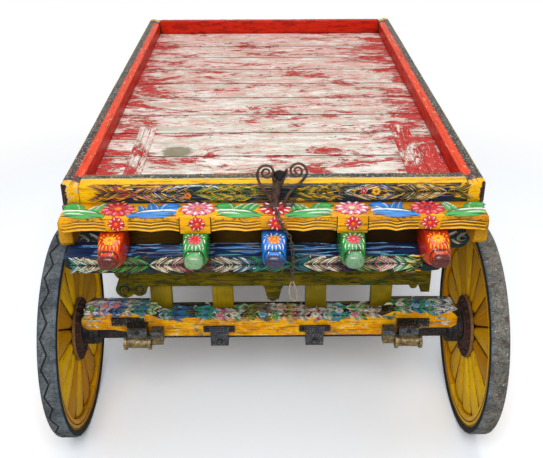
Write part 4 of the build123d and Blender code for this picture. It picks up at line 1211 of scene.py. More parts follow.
# The joints' dark colour is dirt and painted shade: it starts at this depth below the planks' tops, with this
# blur.
SEAM_START, SEAM_SOFT = 0.5 * MM, 0.3 * MM     # depth at which a joint's dirt starts, and its blur
STAIN_PLACE, STAIN_R = (0.352, 0.742, 0), 0.085


def worn_floor(name, red_share, pink, across=0, seam_dirt_and_shade=0.95):
    """Red enamel on grey-white weathered boards: long flakes of paint left along the grain.

    The paint holds out near the side rails and the front, turns pink towards the rear, and dark dirt
    with painted shade fills the joints.  across is the grain's axis.
    """
    material, tree, shader = start_finish(name)
    _, back, height, aside, _ = spots(tree)

    def streaks(along, sideways, detail, shift, warp=0.4, rough=0.65):
        size = [sideways, sideways, 40]
        size[across] = along
        return patches(tree, size, detail=detail, rough=rough, shift=shift, warp=warp)

    fine_grain = streaks(120, 2.2, 5.0, 0.0)
    hair = streaks(300, 5.0, 4.0, 17.0)
    coarse = streaks(200, 40, 7.0, 2.2, warp=0.6, rough=0.7)
    pale = lay(tree, "#E8E6DF", "#BEBAA8", above(tree, coarse, 0.5, 0.14))
    pale = lay(tree, pale, "#6E6258", above(tree, fine_grain, 0.60, 0.05), 0.55)
    pale = lay(tree, pale, "#33291F", above(tree, hair, 0.645, 0.02), 0.85)
    wash = streaks(90, 42, 8.0, 5.0, warp=0.9, rough=0.8)
    wash = weighed(tree, (above(tree, back, -0.2, 0.9), 0.09), start=wash)
    pale = lay(tree, pale, "#CF8078", above(tree, wash, 0.56, 0.05), pink)
    # Paint is left where two sizes of flake and the sheltered places add up past an edge.
    big = streaks(260, 105, 8.0, 9.0, warp=0.8, rough=0.72)
    small = streaks(60, 20, 7.0, 1.0, warp=0.9, rough=0.78)
    near_side = above(tree, aside, 0.50, 0.14)
    near_front = above(tree, weighed(tree, (back, -1.0), start=-0.82), 0.0, 0.16)
    held = weighed(tree, (big, 0.62), (small, 0.38), (near_side, 0.055), (near_front, 0.045))
    edge = 0.62 - 0.16 * red_share
    red_left = above(tree, held, edge, 0.005)
    pale = lay(tree, pale, "#D08078", above(tree, held, edge - 0.03, 0.025), 0.5)
    red = lay(tree, "#C4423C", "#A42C28", above(tree, small, 0.5, 0.16))
    red = lay(tree, red, "#7A2A22", above(tree, fine_grain, 0.62, 0.05), 0.6)
    surface = lay(tree, pale, red, red_left)
    # Painted shadow: a dark rim along the edges of the red paint that is left.
    bare = weighed(tree, (red_left, -1.0), start=1.0)
    flake_edge_shadow = weighed(tree, (above(tree, held, edge - 0.014, 0.006), bare))
    surface = lay(tree, surface, "#4A2A22", flake_edge_shadow, 0.62)
    chalk = streaks(26, 8, 5.0, 21.0, warp=0.6, rough=0.8)
    surface = lay(tree, surface, "#F2F0EA", above(tree, chalk, 0.60, 0.02), 0.55)
    grit = streaks(20, 5, 5.0, 27.0, warp=0.6, rough=0.8)
    surface = lay(tree, surface, "#5A4A40", above(tree, grit, 0.635, 0.015), 0.7)
    # A round oily stain lies near the left front corner.
    place = add_node(tree, "ShaderNodeTexCoord").outputs["Object"]
    from_stain = add_node(
        tree, "ShaderNodeMapping", {"Vector": place, "Location": STAIN_PLACE, "Scale": (1.0, 1.1, 0.0)},
    )
    reach = add_node(tree, "ShaderNodeVectorMath", {0: from_stain}, operation="LENGTH").outputs["Value"]
    stained = above(tree, weighed(tree, (small, -0.06), (reach, -1.0), start=STAIN_R), 0.0, 0.012)
    surface = lay(tree, surface, "#6A6240", stained, 0.8)
    # Dirt and painted shade darken the plank sides inside the joints.
    sunk = weighed(tree, (height, -1.0), start=floor_high.z - SEAM_START)
    surface = lay(tree, surface, "#120D0A", above(tree, sunk, 0.0, SEAM_SOFT), seam_dirt_and_shade)
    relief = weighed(tree, (fine_grain, -0.6), (hair, -1.0), start=red_left)
    end_finish(tree, shader, surface, relief, 0.7, 1.2, {"Roughness": 0.78, "Specular IOR Level": 0.12})
    return material


floor_paint = worn_floor("worn_red_floor_enamel", 0.42, 0.6)
patch_paint = worn_floor("worn_red_repair_enamel", 0.66, 0.8, across=1, seam_dirt_and_shade=0.0)
cleat_paint = worn_floor("worn_pink_cleat_enamel", 0.45, 0.8, across=1, seam_dirt_and_shade=0.0)
sawn("floor_planks", floor_paint, "body", "floor_paint", rounding=7.0, wander=0.4, step=120.0)

# Two nails hold each plank to each joist.
SEAMS_BEHIND = (192, 409, 643, 851, 1072, 1275, 1499, 1712, 1927)
NAIL_IN = 45                   # nails' distance from the planks' edges
nail_places = [
    (joist, floor_low.y / MM + seam + side * NAIL_IN, floor_high.z / MM)
    for joist in JOIST_PITCHES for seam in SEAMS_BEHIND for side in (-1, 1)
]
grown(
    "floor_nails", stud_tree, "body", "rusty_iron", nail_places,
    **{"Facing": (0, 0, 0), "Sides": 9, "Head Radius": 3.6 * MM, "Head Height": 0.8 * MM,
       "Wander": (6 * MM, 9 * MM, 0), "Finish": rusty_iron},
)

REPAIR_RAISED, REPAIR_SUNK = 4.0, 2.0  # boards' tops above the floor, their undersides below it
# node, material, boards: left, right, front, back (mm behind the front rail's outer face), further rise
for node, material, boards in (
    ("floor_cleat_left", cleat_paint, (
        (-520, -500, 84, 700, -0.5), (-498, -477, 84, 694, 0.8), (-474, -455, 84, 700, 0.3),
    )),
    ("floor_patch_right", patch_paint, (
        (466, 508, 84, 712, 0.6), (511, 540, 84, 700, -1.0), (543, 606, 84, 205, 0.0),
        (543, 606, 214, 505, 0.8),
    )),
):
    work = bmesh.new()
    for left, right, near, far, rise in boards:
        thick = REPAIR_RAISED + rise + REPAIR_SUNK
        middle_z = floor_high.z + (thick / 2 - REPAIR_SUNK) * MM
        made = bmesh.ops.create_cube(work, size=1.0)["verts"]
        bmesh.ops.scale(work, verts=made, vec=((right - left) * MM, (far - near) * MM, thick * MM))
        bmesh.ops.translate(
            work, verts=made, vec=((left + right) / 2 * MM, floor_low.y + (near + far) / 2 * MM, middle_z),
        )
    bmesh.ops.bevel(work, geom=work.edges[:], offset=1.5 * MM, segments=2, profile=0.5, affect="EDGES")
    long_edges = [edge for edge in work.edges if edge.calc_length() > 40 * MM]
    bmesh.ops.subdivide_edges(work, edges=long_edges, cuts=9, use_grid_fill=True)
    for vertex in work.verts:
        drift = drift_at(vertex.co * 14.0)
        vertex.co += Vector((drift.x * 2.2, drift.y, drift.z * 0.6)) * MM
    triangulated(work)
    smoothed(work, f"{node}_boards", [material], "body", "floor_paint", crease=40, replaced=node)

# The side rails: pale yellow outside, a dark chipped strip along the top, red on the inner slope and
# face.  Their ends close the corners, yellow in front with blackened outer corners.
rail_low, rail_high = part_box("side_rail_right")
FRONT_RAIL_DEPTH = 82 * MM
DARK_STRIP = 42 * MM           # from the front rail's outer face to the dark strip
GROUND_BACK = 15 * MM          # and to where the carving's dark ground ends
GROUND_LEFT = -0.545           # the ground's left end, from the middle of the cart
RAGGED = 14 * MM               # how far a band's edge wanders
yellow_start = rail_high.y - DARK_STRIP + 4 * MM


def rail_places(tree, seed):
    """Distances across and along the cart, made ragged, and the height."""
    _, _, height, *distances = spots(tree)
    wander = patches(tree, (16, 16, 16), detail=6.0, rough=0.72, shift=seed)
    ragged = weighed(tree, (wander, RAGGED), start=-RAGGED / 2)
    across, along = (weighed(tree, (ragged, 1.0), start=distance) for distance in distances)
    return across, along, height


def banded(tree, colour, *bands):
    """Lay bands over a colour, each from a distance on."""
    for distance, start, shade in bands:
        colour = lay(tree, colour, shade, above(tree, distance, start, 1.0 * MM))
    return colour


def chipped_black(tree):
    """Black and grey-green paint flecked with pale chips."""
    ground = mottle(tree, "#161E1C", "#3A4440", (34, 60, 34), 0.5, 0.12, shift=1.0)
    return mottle(tree, ground, "#A8A494", (9, 12, 9), 0.57, 0.03, 0.8, detail=5.0, rough=0.7, shift=3.0)


def side_rail_colour(tree):
    """Bands across a side rail, and the front rail's bands carried round at its ends."""
    across, along, height = rail_places(tree, 0.0)
    face_red = mottle(tree, "#CC2408", "#9E1606", (18, 60, 18), 0.55, 0.08, detail=5.0)
    slope_red = mottle(tree, "#DC4218", "#E49A78", (10, 40, 10), 0.62, 0.04, detail=5.0)
    outer_yellow = mottle(tree, "#E9C23C", "#C8A868", (14, 60, 14), 0.5, 0.1, detail=5.0, shift=8.0)
    worn_yellow = mottle(tree, "#EDB010", "#C9B48A", (18, 18, 18), 0.56, 0.05, detail=5.0, shift=4.0)
    dark = chipped_black(tree)
    colour = lay(tree, face_red, slope_red, above(tree, height, rail_high.z - 14 * MM, 1.5 * MM))
    colour = banded(
        tree, colour, (across, rail_low.x + 26 * MM, dark), (across, rail_high.x - 5 * MM, outer_yellow),
        (along, rail_high.y - FRONT_RAIL_DEPTH, dark), (along, yellow_start, worn_yellow),
    )
    corner = weighed(tree, (across, 1.0), start=along)
    return lay(tree, colour, "#121416", above(tree, corner, rail_high.x + rail_high.y - 20 * MM, 1.5 * MM))


# The end rails: a dark strip inside, a yellow bevel with a pale worn edge, and a carved yellow face.
def end_rail_colour(tree):
    """Bands across the front rail, by the distance in from the cart's end."""
    along = rail_places(tree, 2.0)[1]
    yellow = mottle(tree, "#F0B40A", "#C48A0C", (60, 12, 12), 0.57, 0.07, detail=6.0, shift=4.0)
    brushed = patches(tree, (70, 12, 12), detail=6.0, rough=0.72, shift=14.0, warp=0.6)
    ground = "#14281E"
    for start, softness, shade in ((0.47, 0.03, "#1A2848"), (0.56, 0.02, "#0E1214"), (0.62, 0.02, "#C48A08")):
        ground = lay(tree, ground, shade, above(tree, brushed, start, softness))
    outside = above(tree, along, rail_high.y - GROUND_BACK, 2 * MM)
    inside_end = above(tree, spots(tree)[0], GROUND_LEFT, 12 * MM)
    yellow = lay(tree, yellow, ground, weighed(tree, (outside, inside_end)))
    return banded(
        tree, "#A81E10", (along, rail_high.y - FRONT_RAIL_DEPTH + 3 * MM, chipped_black(tree)),
        (along, rail_high.y - DARK_STRIP - 5 * MM, "#CDB274"), (along, yellow_start, yellow),
    )


def rear_rail_colour(tree):
    """Red inside and on top, dark along the top's outer edge, yellow outside."""
    along = rail_places(tree, 5.0)[1]
    red = mottle(tree, "#C82408", "#9E1606", (60, 18, 18), 0.55, 0.08, detail=5.0)
    return banded(
        tree, red, (along, rail_high.y - 38 * MM, chipped_black(tree)),
        (along, rail_high.y - 3 * MM, "#EDB010"),
    )


side_rail_paint = painted_timber(
    "banded_rail_enamel", "#B8200F", "#8C1C10", "#A89884", along=1, chipped=0.3, edges=0.3,
    colour=side_rail_colour, crevice=22.0, cracks=0.7,
)
end_rail_paint = painted_timber(
    "banded_end_rail_enamel", "#F0B000", "#C8960C", "#B0A48C", along=0, chipped=0.36, edges=0.4,
    colour=end_rail_colour, crevice=22.0, cracks=0.8,
)
rear_rail_paint = painted_timber(
    "red_rear_rail_enamel", "#B8200F", "#8C1810", "#8A6A54", along=0, chipped=0.3, edges=0.4,
    colour=rear_rail_colour, crevice=22.0, cracks=0.6,
)
for node, material, slot in (
    ("side_rail_left", side_rail_paint, "rail_paint"), ("side_rail_right", side_rail_paint, "rail_paint"),
    ("front_rail", end_rail_paint, "yellow_paint"), ("rear_rail", rear_rail_paint, "rail_paint"),
):
    sawn(node, material, "body", slot, rounding=4.0, wander=2.0, step=60.0)

# from, to (mm from the middle), the leaf's colours
RAIL_LEAVES = (
    (-470, -548, "maroon brown yellow"), (-430, -480, "red maroon yellow"), (-446, -384, "pink yellow brown"),
    (-398, -345, "navy yellow white"), (-350, -300, "navy blue yellow"), (-250, -312, "moss navy yellow"),
    (-252, -190, "olive green yellow"), (-190, -125, "green olive yellow"), (-80, -128, "moss olive yellow"),
    (-36, -84, "moss green yellow"), (62, 120, "moss olive yellow"), (115, 180, "moss black yellow"),
    (232, 180, "black moss yellow"), (225, 282, "white navy yellow"), (385, 345, "navy blue white"),
    (425, 382, "navy yellow olive"), (548, 480, "cream brown yellow"), (485, 425, "brown cream olive"),
    (552, 600, "olive brown yellow"),
)
BEVEL_DROP = 9 * MM            # the rail's outer edge lies this far below its top
FACE_MIDDLE = -20.0            # middle of the carving, from the rail's outer edge up its bevel
# height above the carving's middle, place, radius, petal, light, heart
RAIL_FLOWERS = (
    (-10, -272, 12, "orange", "yellow", "red"), (5, 285, 12, "red", "white", "white"),
    (2, 325, 15, "yellow", "orange", "brown"),
)
for end, node in ((-1, "front_rail"), (1, "rear_rail")):
    _, face_high, outer_y = end_face(node, end)
    face = folded_face(
        end, (0, outer_y, face_high.z - BEVEL_DROP), arris=4.0, climb=BEVEL_DROP / DARK_STRIP,
    )
    work = start_carving()
    for start, stop, names in RAIL_LEAVES:
        colours = names.split()
        count = max(4, round(abs(stop - start) / 10))
        middle = FACE_MIDDLE + vary(-3, 3)
        tall, lean = vary(24, 34), vary(1.4, 3.4)
        feather(work, face, start, stop, middle, tall, colours, count, width=6.0, rise=3.2, lean=lean)
        way = copysign(1.0, stop - start)
        for _ in range(13):
            u, v = vary(min(start, stop), max(start, stop)), FACE_MIDDLE + vary(-30, 30)
            tip = (u + way * vary(16, 40), v + vary(-12, 12))
            path = bend((u, v), midway((u, v), tip, 0, vary(-6, 6)), tip)
            shade = pick(("black", "yellow", "yellow", "moss", "brown", "black", colours[0]))
            stroke(work, face, path, vary(2.5, 5), 4.2, shade)
    crest = FACE_MIDDLE + 18
    for u in range(-320, -185, 24):
        path = bend((u, crest + 6 * sin(u / 22)), (u + 14, crest + 9), (u + 30, crest + 6 * cos(u / 22)), 6)
        stroke(work, face, path, 6, 4.5, "sky", "white", blunt=0.2)
    for v, u, radius, petal, light, heart in RAIL_FLOWERS:
        flower(work, face, u, FACE_MIDDLE + v, radius, 7, petal, light, heart, rise=5.0)
    finish_carving(work, f"{node}_leaves", carving_enamel, "body")

# ------------------------------------------------
# Rein hook.  Two forged rods leave the foot of a fluted iron socket, bow out and curl over inwards.
# A rusty chain is caught under the socket and hangs beside the middle peg, a wire loop on its end.
# ------------------------------------------------
hook_low, hook_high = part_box("rein_hook")
HOOK_Y = (hook_low.y + hook_high.y) / 2 / MM
HOOK_FOOT = hook_low.z / MM        # heights below are from the hook's foot, on the bolster


def forged_rod(name, points, material, closed=False, replaced=None):
    """A round rod swept along points of (x, y, z, thickness) in millimetres."""
    curve = bpy.data.curves.new(f"{name}_line", "CURVE")
    curve.dimensions = "3D"
    curve.bevel_depth = 1.0
    curve.bevel_resolution = 3
    curve.use_fill_caps = True
    spline = curve.splines.new("NURBS")
    spline.points.add(len(points) - 1)
    for point, (x, y, z, thickness) in zip(spline.points, points):
        point.co = (x * MM, y * MM, z * MM, 1.0)
        point.radius = thickness / 2 * MM
    spline.order_u = 3
    spline.use_cyclic_u = closed
    spline.use_endpoint_u = not closed
    spline.resolution_u = 6
    mesh = evaluated_mesh(put(f"{name}_line", curve))
    mesh.materials.clear()
    mesh.materials.append(material)
    mesh.shade_smooth()
    mesh.set_sharp_from_angle(angle=radians(50))
    mounted(name, mesh, "body", "rusty_iron", replaced)


def curl(centre, start_radius, end_radius, start_angle, sweep, count=22):
    """Points of a flat spiral, by angle from +X towards +Z in degrees."""
    points = []
    for i in range(count):
        t = i / (count - 1)
        radius = start_radius + (end_radius - start_radius) * t ** 0.85
        angle = radians(start_angle + sweep * t)
        points.append((centre[0] + radius * cos(angle), centre[1] + radius * sin(angle), 8.4 - 2.4 * t))
    return points


hook_iron = ironwork("worn_brown_hook_iron", "#3B302A", "#55392A", rusty=0.55, gloss=0.42)
# x, height and thickness: each rod from its foot up to where its curl starts
LEFT_ROD = ((-4, 11, 10), (-7, 23, 10), (-17, 40, 9.6), (-32, 61, 9.2), (-46, 88, 8.8), (-51, 107, 8.6))
RIGHT_ROD = ((34, 12, 10), (37, 25, 10), (45, 44, 9.6), (60, 63, 9.2), (78, 79, 9), (95, 99, 8.6),
             (103, 115, 8.6))
LEFT_CURL, RIGHT_CURL = (-21.5, 119.0), (72.4, 124.0)
# Leaf feet lie on the beam, a little forward; the right one curls up into a small eye.
LEFT_FOOT = ((2, 12, 10), (-8, 7, 11), (-22, 5, 10), (-33, 4, 6), (-42, 4, 3))
RIGHT_FOOT = ((32, 15, 9), (38, 6, 9), (50, 5, 8), (62, 13, 7), (63, 25, 6), (54, 30, 6),
              (48, 24, 5.5), (52, 18, 5))
FOOT_FORWARD = 4.0
for part_name, line, forward_by, replaced in (
    ("left_rod", (*LEFT_ROD, *curl(LEFT_CURL, 29.0, 5.5, 185, -640)), 0.0, "rein_hook"),
    ("right_rod", (*RIGHT_ROD, *curl(RIGHT_CURL, 30.0, 5.5, -5, 640)), 0.0, None),
    ("left_foot", LEFT_FOOT, FOOT_FORWARD, None), ("right_foot", RIGHT_FOOT, FOOT_FORWARD, None),
):
    points = [(x, HOOK_Y - forward_by, HOOK_FOOT + z, thickness) for x, z, thickness in line]
    forged_rod(f"rein_hook_{part_name}", points, hook_iron, replaced=replaced)

SOCKET_SIDES = 32
FLUTES, FLUTE_DEPTH = 6, 0.09
RAGGED_FROM = 98               # above this height the socket's rim is torn into a spike and a notch
# The socket's inside is near black: painted shade in its hollow.
socket_shade_iron = ironwork("socket_inside_painted_shade_iron", "#0C0B0A", "#1A120E", rusty=0.4, gloss=0.8)
# height, middle's x, radius up the outside of the socket, then down its inside
SOCKET_OUTSIDE = ((0, 4, 15), (3, 4, 16), (11, 4, 10.5), (35, 6, 10), (65, 10, 12), (88, 14, 16.5),
                  (105, 17, 21.5), (115, 18, 25))
SOCKET_INSIDE = ((115, 18, 22), (103, 17, 18), (82, 14, 13), (62, 10, 4))
work = bmesh.new()
socket_rings = []
for level, (height, middle, radius) in enumerate(SOCKET_OUTSIDE + SOCKET_INSIDE):
    fluted = FLUTE_DEPTH if level < len(SOCKET_OUTSIDE) and height > 5 else 0.0
    row = []
    for i in range(SOCKET_SIDES):
        angle = 2 * pi * i / SOCKET_SIDES
        reach = radius * (1 + fluted * cos(FLUTES * angle))
        spike = max(cos(angle - 0.25), 0.0) ** 8
        notch = max(cos(angle + 1.65), 0.0) ** 3
        torn = (13 * spike - 17 * notch + 2.5 * sin(5 * angle)) * (height - RAGGED_FROM) / 17
        place = (middle + reach * cos(angle), HOOK_Y + reach * sin(angle), HOOK_FOOT + height)
        row.append(work.verts.new((Vector(place) + Vector((0, 0, torn if height > 100 else 0))) * MM))
    socket_rings.append(row)
skin(work, socket_rings)
work.faces.new(socket_rings[0][::-1])
work.faces.new(socket_rings[-1])
# Faces wholly inside the socket take the near-black iron, painted shade of the hollow.
inner = {vertex for row in socket_rings[len(SOCKET_OUTSIDE):] for vertex in row}
for part in work.faces:
    part.material_index = int(all(vertex in inner for vertex in part.verts))
smoothed(work, "rein_hook_socket", [hook_iron, socket_shade_iron], "body", "rusty_iron", crease=45)

chain_tree, given = new_tree(
    "chain_links", ("Path", "Geometry"), ("Link Pitch", "Float"), ("Link Half Length", "Float"),
    ("Link Half Width", "Float"), ("Wire Radius", "Float"), ("Finish", "Material"),
)
path_curve = add_node(chain_tree, "GeometryNodeMeshToCurve", {"Mesh": given["Path"]})
steps = add_node(
    chain_tree, "GeometryNodeCurveToPoints", {"Curve": path_curve, "Length": given["Link Pitch"]},
    mode="LENGTH",
).outputs
oval = add_node(chain_tree, "GeometryNodeCurvePrimitiveCircle", {"Resolution": 16, "Radius": 1.0})
stretch = add_node(
    chain_tree, "ShaderNodeCombineXYZ",
    {"X": given["Link Half Width"], "Y": given["Link Half Length"], "Z": 1.0},
)
stretched = add_node(chain_tree, "GeometryNodeTransform", {"Geometry": oval, "Scale": stretch})
wire = add_node(
    chain_tree, "GeometryNodeCurvePrimitiveCircle", {"Resolution": 7, "Radius": given["Wire Radius"]},
)
link = add_node(chain_tree, "GeometryNodeCurveToMesh", {"Curve": stretched, "Profile Curve": wire})
upright_link = add_node(chain_tree, "GeometryNodeTransform", {"Geometry": link, "Rotation": (pi / 2, 0, 0)})
place_in_chain = add_node(chain_tree, "GeometryNodeInputIndex")
turns = add_node(chain_tree, "ShaderNodeMath", {0: place_in_chain, 1: radians(82)}, operation="MULTIPLY")
twist = add_node(chain_tree, "ShaderNodeCombineXYZ", {"Z": turns})
twisted = add_node(
    chain_tree, "FunctionNodeRotateRotation", {"Rotation": steps["Rotation"], "Rotate By": twist},
    rotation_space="LOCAL",
)
links = add_node(
    chain_tree, "GeometryNodeInstanceOnPoints",
    {"Points": steps["Points"], "Instance": upright_link, "Rotation": twisted},
)
end_tree(chain_tree, links, given["Finish"])

chain_iron = ironwork("rubbed_chain_iron", "#6A5C4C", "#4A382C", gloss=0.40)
# x, y and height of the chain, from the socket's foot over the bolster and down
CHAIN_PATH = (
    (2, -1186, 6), (8, -1200, 7), (12, -1222, 7), (14, -1233, 1), (18, -1237, -12), (25, -1237, -31),
    (38, -1237, -47), (47, -1238, -63), (52, -1238, -79), (57, -1238, -106), (60, -1238, -145),
    (59, -1238, -190), (57, -1238, -232),
)
grown(
    "rein_hook_chain", chain_tree, "body", "rusty_iron", [(x, y, HOOK_FOOT + z) for x, y, z in CHAIN_PATH],
    **{"Link Pitch": 14 * MM, "Link Half Length": 9.8 * MM, "Link Half Width": 5.0 * MM,
       "Wire Radius": 1.6 * MM, "Finish": chain_iron},
)
pale_wire = painted_timber(
    "dull_pale_wire", "#B8A888", "#9A8A6C", "#7A6A54", along=2, chipped=0.2, edges=0.2, dirt_and_shade=0.3,
)
WIRE_LOOP = ((57, -227), (50, -245), (48, -262), (51, -283), (60, -300), (68, -303), (75, -293), (74, -272),
             (69, -250), (63, -235), (59, -226))
WIRE_THICK = 4.8
loop_points = [(x, CHAIN_PATH[-1][1], HOOK_FOOT + z, WIRE_THICK) for x, z in WIRE_LOOP]
forged_rod("chain_wire_loop", loop_points, pale_wire, closed=True)

# ------------------------------------------------
# Wheels.  Sixteen broad crowned spokes fan out between two bolted iron flanges to eight sawn felloes
# inside a thin hoop, all painted yellow.  A strip cut from an old tyre is shrunk round the hoop.
# ------------------------------------------------
SPOKE_COUNT = 16
FELLOE_COUNT = 8
FELLOE_IN_R, HOOP_R, TYRE_BORE_R = 352.0, 389.5, 394.0
FELLOE_HALF = 28.0
GROOVE_R = 372.0               # a turned line round the felloes' faces
TYRE_HALF = 34.0
FLANGE_R, FLANGE_FACE, CLAMP_FACE = 125.0, 29.0, 18.0
SEAM = 1.6                     # open joints between felloes
SEAM_DIRT_AND_SHADE = "#2E1A06"
GRAIN_R = 0.36                 # radius (m) at which the grain's length round a felloe is measured
spoke_draw = random.Random(5)


def axle_place(middle, outward):
    """A function that turns outward distance, radius and angle round an axle into a place."""
    def place(out, radius, angle):
        return Vector((
            middle.x + outward * out * MM,
            middle.y + radius * cos(angle) * MM,
            middle.z + radius * sin(angle) * MM,
        ))

    return place


def wheel_place(node):
    """The same round a wheel's own middle."""
    low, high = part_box(node)
    middle = (low + high) / 2
    return axle_place(middle, 1 if middle.x > 0 else -1)


def start_grained():
    """A mesh in the making with layers for its grain directions and its tint."""
    work = bmesh.new()
    work.verts.layers.float_vector.new("grain")
    work.loops.layers.float_color.new("paint")
    return work


def grained_solid(work, rings, grains, shade, seams=(), closed=False):
    """Join rings of places into a solid with its grain directions and tint; seams are its sides darkened with
    dirt and painted shade.
    """
    grain_layer = work.verts.layers.float_vector["grain"]
    tint_layer = work.loops.layers.float_color["paint"]
    made = [[work.verts.new(spot) for spot in ring] for ring in rings]
    for ring, ring_grain in zip(made, grains):
        for vertex, grain in zip(ring, ring_grain):
            vertex[grain_layer] = grain
    caps = [] if closed else [(None, work.faces.new(made[0][::-1])), (None, work.faces.new(made[-1]))]
    for k, face in caps + skin(work, made, closed):
        for loop in face.loops:
            loop[tint_layer] = linear(SEAM_DIRT_AND_SHADE) if k in seams else shade


def wheel_tint(tree):
    """The wheel's yellow, each spoke a little lighter or browner than the next."""
    coat = painted_in(tree)
    coat = mottle(tree, coat, "#C2860A", (90, 60, 60), 0.52, 0.16, 0.32, shift=1.3, layer="grain")
    return mottle(tree, coat, "#6E5A10", (26, 20, 20), 0.66, 0.05, 0.5, detail=5.0, shift=5.3, layer="grain")


wheel_enamel = painted_timber(
    "chipped_yellow_wheel_enamel", "#F8BA0A", "#DDA010", "#8A6A3C", along=0, chipped=0.28, edges=0.55,
    colour=wheel_tint, dirt_and_shade=0.9, crevice=18.0, cracks=0.6, layer="grain", shade="#2A1604", shine=0.08,
)


def old_tyre_rubber(name, tread, dust, scars, scarred):
    """Weathered tyre rubber: the black carcass shows at the sides and in the groove, dust greys the tread."""
    material, tree, shader = start_finish(name)
    zones = add_node(tree, "ShaderNodeSeparateColor", {0: painted_in(tree)}).outputs
    at_side, in_groove, on_strip = zones[0], zones[1], zones[2]
    cloud = patches(tree, (70, 55, 55), detail=7.0, rough=0.7)
    fine = patches(tree, (9, 9, 9), shift=3.0)
    tone = lay(tree, tread, dust, above(tree, cloud, 0.5, 0.14))
    tone = lay(tree, tone, "#23272A", above(tree, fine, 0.54, 0.06), 0.5)
    tone = mottle(tree, tone, "#9EA3A2", (5, 4, 4), 0.58, 0.04, 0.25, detail=3.0, shift=13.0)
    rubbed = lay(tree, "#3A4650", "#64717C", above(tree, cloud, 0.5, 0.12))
    tone = lay(tree, tone, rubbed, on_strip, 0.8)
    scar = patches(tree, (11, 8, 8), detail=5.0, rough=0.7, shift=6.0, warp=0.8)
    tone = lay(tree, tone, scars, above(tree, scar, 0.735 - 0.085 * scarred, 0.012))
    mud = patches(tree, (26, 16, 16), detail=6.0, shift=9.0, warp=0.6)
    tone = lay(tree, tone, "#4A3426", above(tree, mud, 0.70 - 0.11 * scarred, 0.03), 0.8)
    side_tone = lay(tree, "#0E0F11", "#34362F", above(tree, fine, 0.62, 0.08))
    tone = lay(tree, tone, side_tone, at_side)
    tone = lay(tree, tone, "#101214", in_groove, 0.92)
    relief = weighed(tree, (fine, 0.6), start=cloud)
    end_finish(tree, shader, tone, relief, 0.6, 1.5, {"Roughness": 0.78, "Specular IOR Level": 0.3})
    return material


ZIGS = 24
ZIG_COLUMNS = 8                # mesh columns to one zig
GROOVE_OUT, GROOVE_SWING = 9.0, 11.0
GROOVE_TOP, GROOVE_FLOOR = 3.4, 1.9    # half widths
dusty_rubber = old_tyre_rubber("dusty_blue_grey_rubber", "#363C42", "#5E666A", "#A89A92", scarred=0.45)
scuffed_rubber = old_tyre_rubber("scuffed_grey_rubber", "#504F4A", "#78756C", "#D6CFC2", scarred=1.0)
# hand: rubber, depth of the groove, how dark it is, row of the wear pattern
TREADS = {"left": (dusty_rubber, 3.6, 1.0, 7.0), "right": (scuffed_rubber, 0.8, 0.2, 3.0)}


def build_tyre(wheel, hand, body):
    """A closed band with rounded shoulders and a zigzag groove left from the old tread."""
    place = wheel_place(f"{wheel}_tyre")
    low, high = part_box(f"{wheel}_tyre")
    radius = (high.z - low.z) / 2 / MM
    rubber, depth, groove_dark, wear_row = TREADS[hand]
    work = start_grained()
    tint_layer = work.loops.layers.float_color["paint"]
    columns = ZIGS * ZIG_COLUMNS
    rows = []
    for i in range(columns):
        swing = abs((i / ZIG_COLUMNS) % 1.0 - 0.5) * 4 - 1
        jitter = noise.noise(Vector((i * 0.37, 0.0, wear_row)))
        groove = GROOVE_OUT + GROOVE_SWING * swing + 1.6 * jitter
        worn = 1.5 * noise.noise(Vector((i * 0.11, 4.0, 0.0)))
        shoulder = 2.2 * max(noise.noise(Vector((i * 0.53, 9.0, 1.0))), 0.0)
        section = (
            (-TYRE_HALF + 3, TYRE_BORE_R + 0.5), (-TYRE_HALF, TYRE_BORE_R + 3), (-TYRE_HALF, radius - 11),
            (-TYRE_HALF + 1.2 + shoulder, radius - 5.5), (-TYRE_HALF + 4.5 + shoulder, radius - 1.8),
            (-TYRE_HALF + 10, radius - 0.2), (groove - GROOVE_TOP - 9, radius),
            (groove - GROOVE_TOP, radius - 0.2), (groove - GROOVE_FLOOR, radius - depth),
            (groove + GROOVE_FLOOR, radius - depth), (groove + GROOVE_TOP, radius - 0.2),
            (max(groove + GROOVE_TOP + 3, TYRE_HALF - 12), radius - 0.1),
            (TYRE_HALF - 4.5 - abs(worn), radius - 1.9), (TYRE_HALF - 1.2, radius - 5.5),
            (TYRE_HALF, radius - 11), (TYRE_HALF, TYRE_BORE_R + 3), (TYRE_HALF - 3, TYRE_BORE_R + 0.5),
        )
        rows.append([work.verts.new(place(out, r, 2 * pi * i / columns)) for out, r in section])
    for k, face in skin(work, rows, closed=True):
        at_side = 1.0 if k < 3 or k > 12 else 0.0
        in_groove = groove_dark if 7 <= k <= 9 else 0.0
        on_strip = 1.0 if 3 <= k <= 4 else 0.0
        for loop in face.loops:
            loop[tint_layer] = (at_side, in_groove, on_strip, 1.0)
    smoothed(work, f"{wheel}_tread", [rubber], body, "tyre", crease=48, replaced=f"{wheel}_tyre")


# radius, share of its room that a spoke fills, half thickness
SPOKE_STATIONS = (
    (66, 0.90, 15.0), (100, 0.97, 16.5), (139, 0.99, 18.5), (208, 1.0, 19.5), (287, 1.0, 18.5),
    (336, 0.985, 16.5), (351.5, 0.94, 14.0),
)
TIP_FROM = 310                 # past this radius a spoke's end is worn narrower and cut round
HOOP_COLUMNS = 96


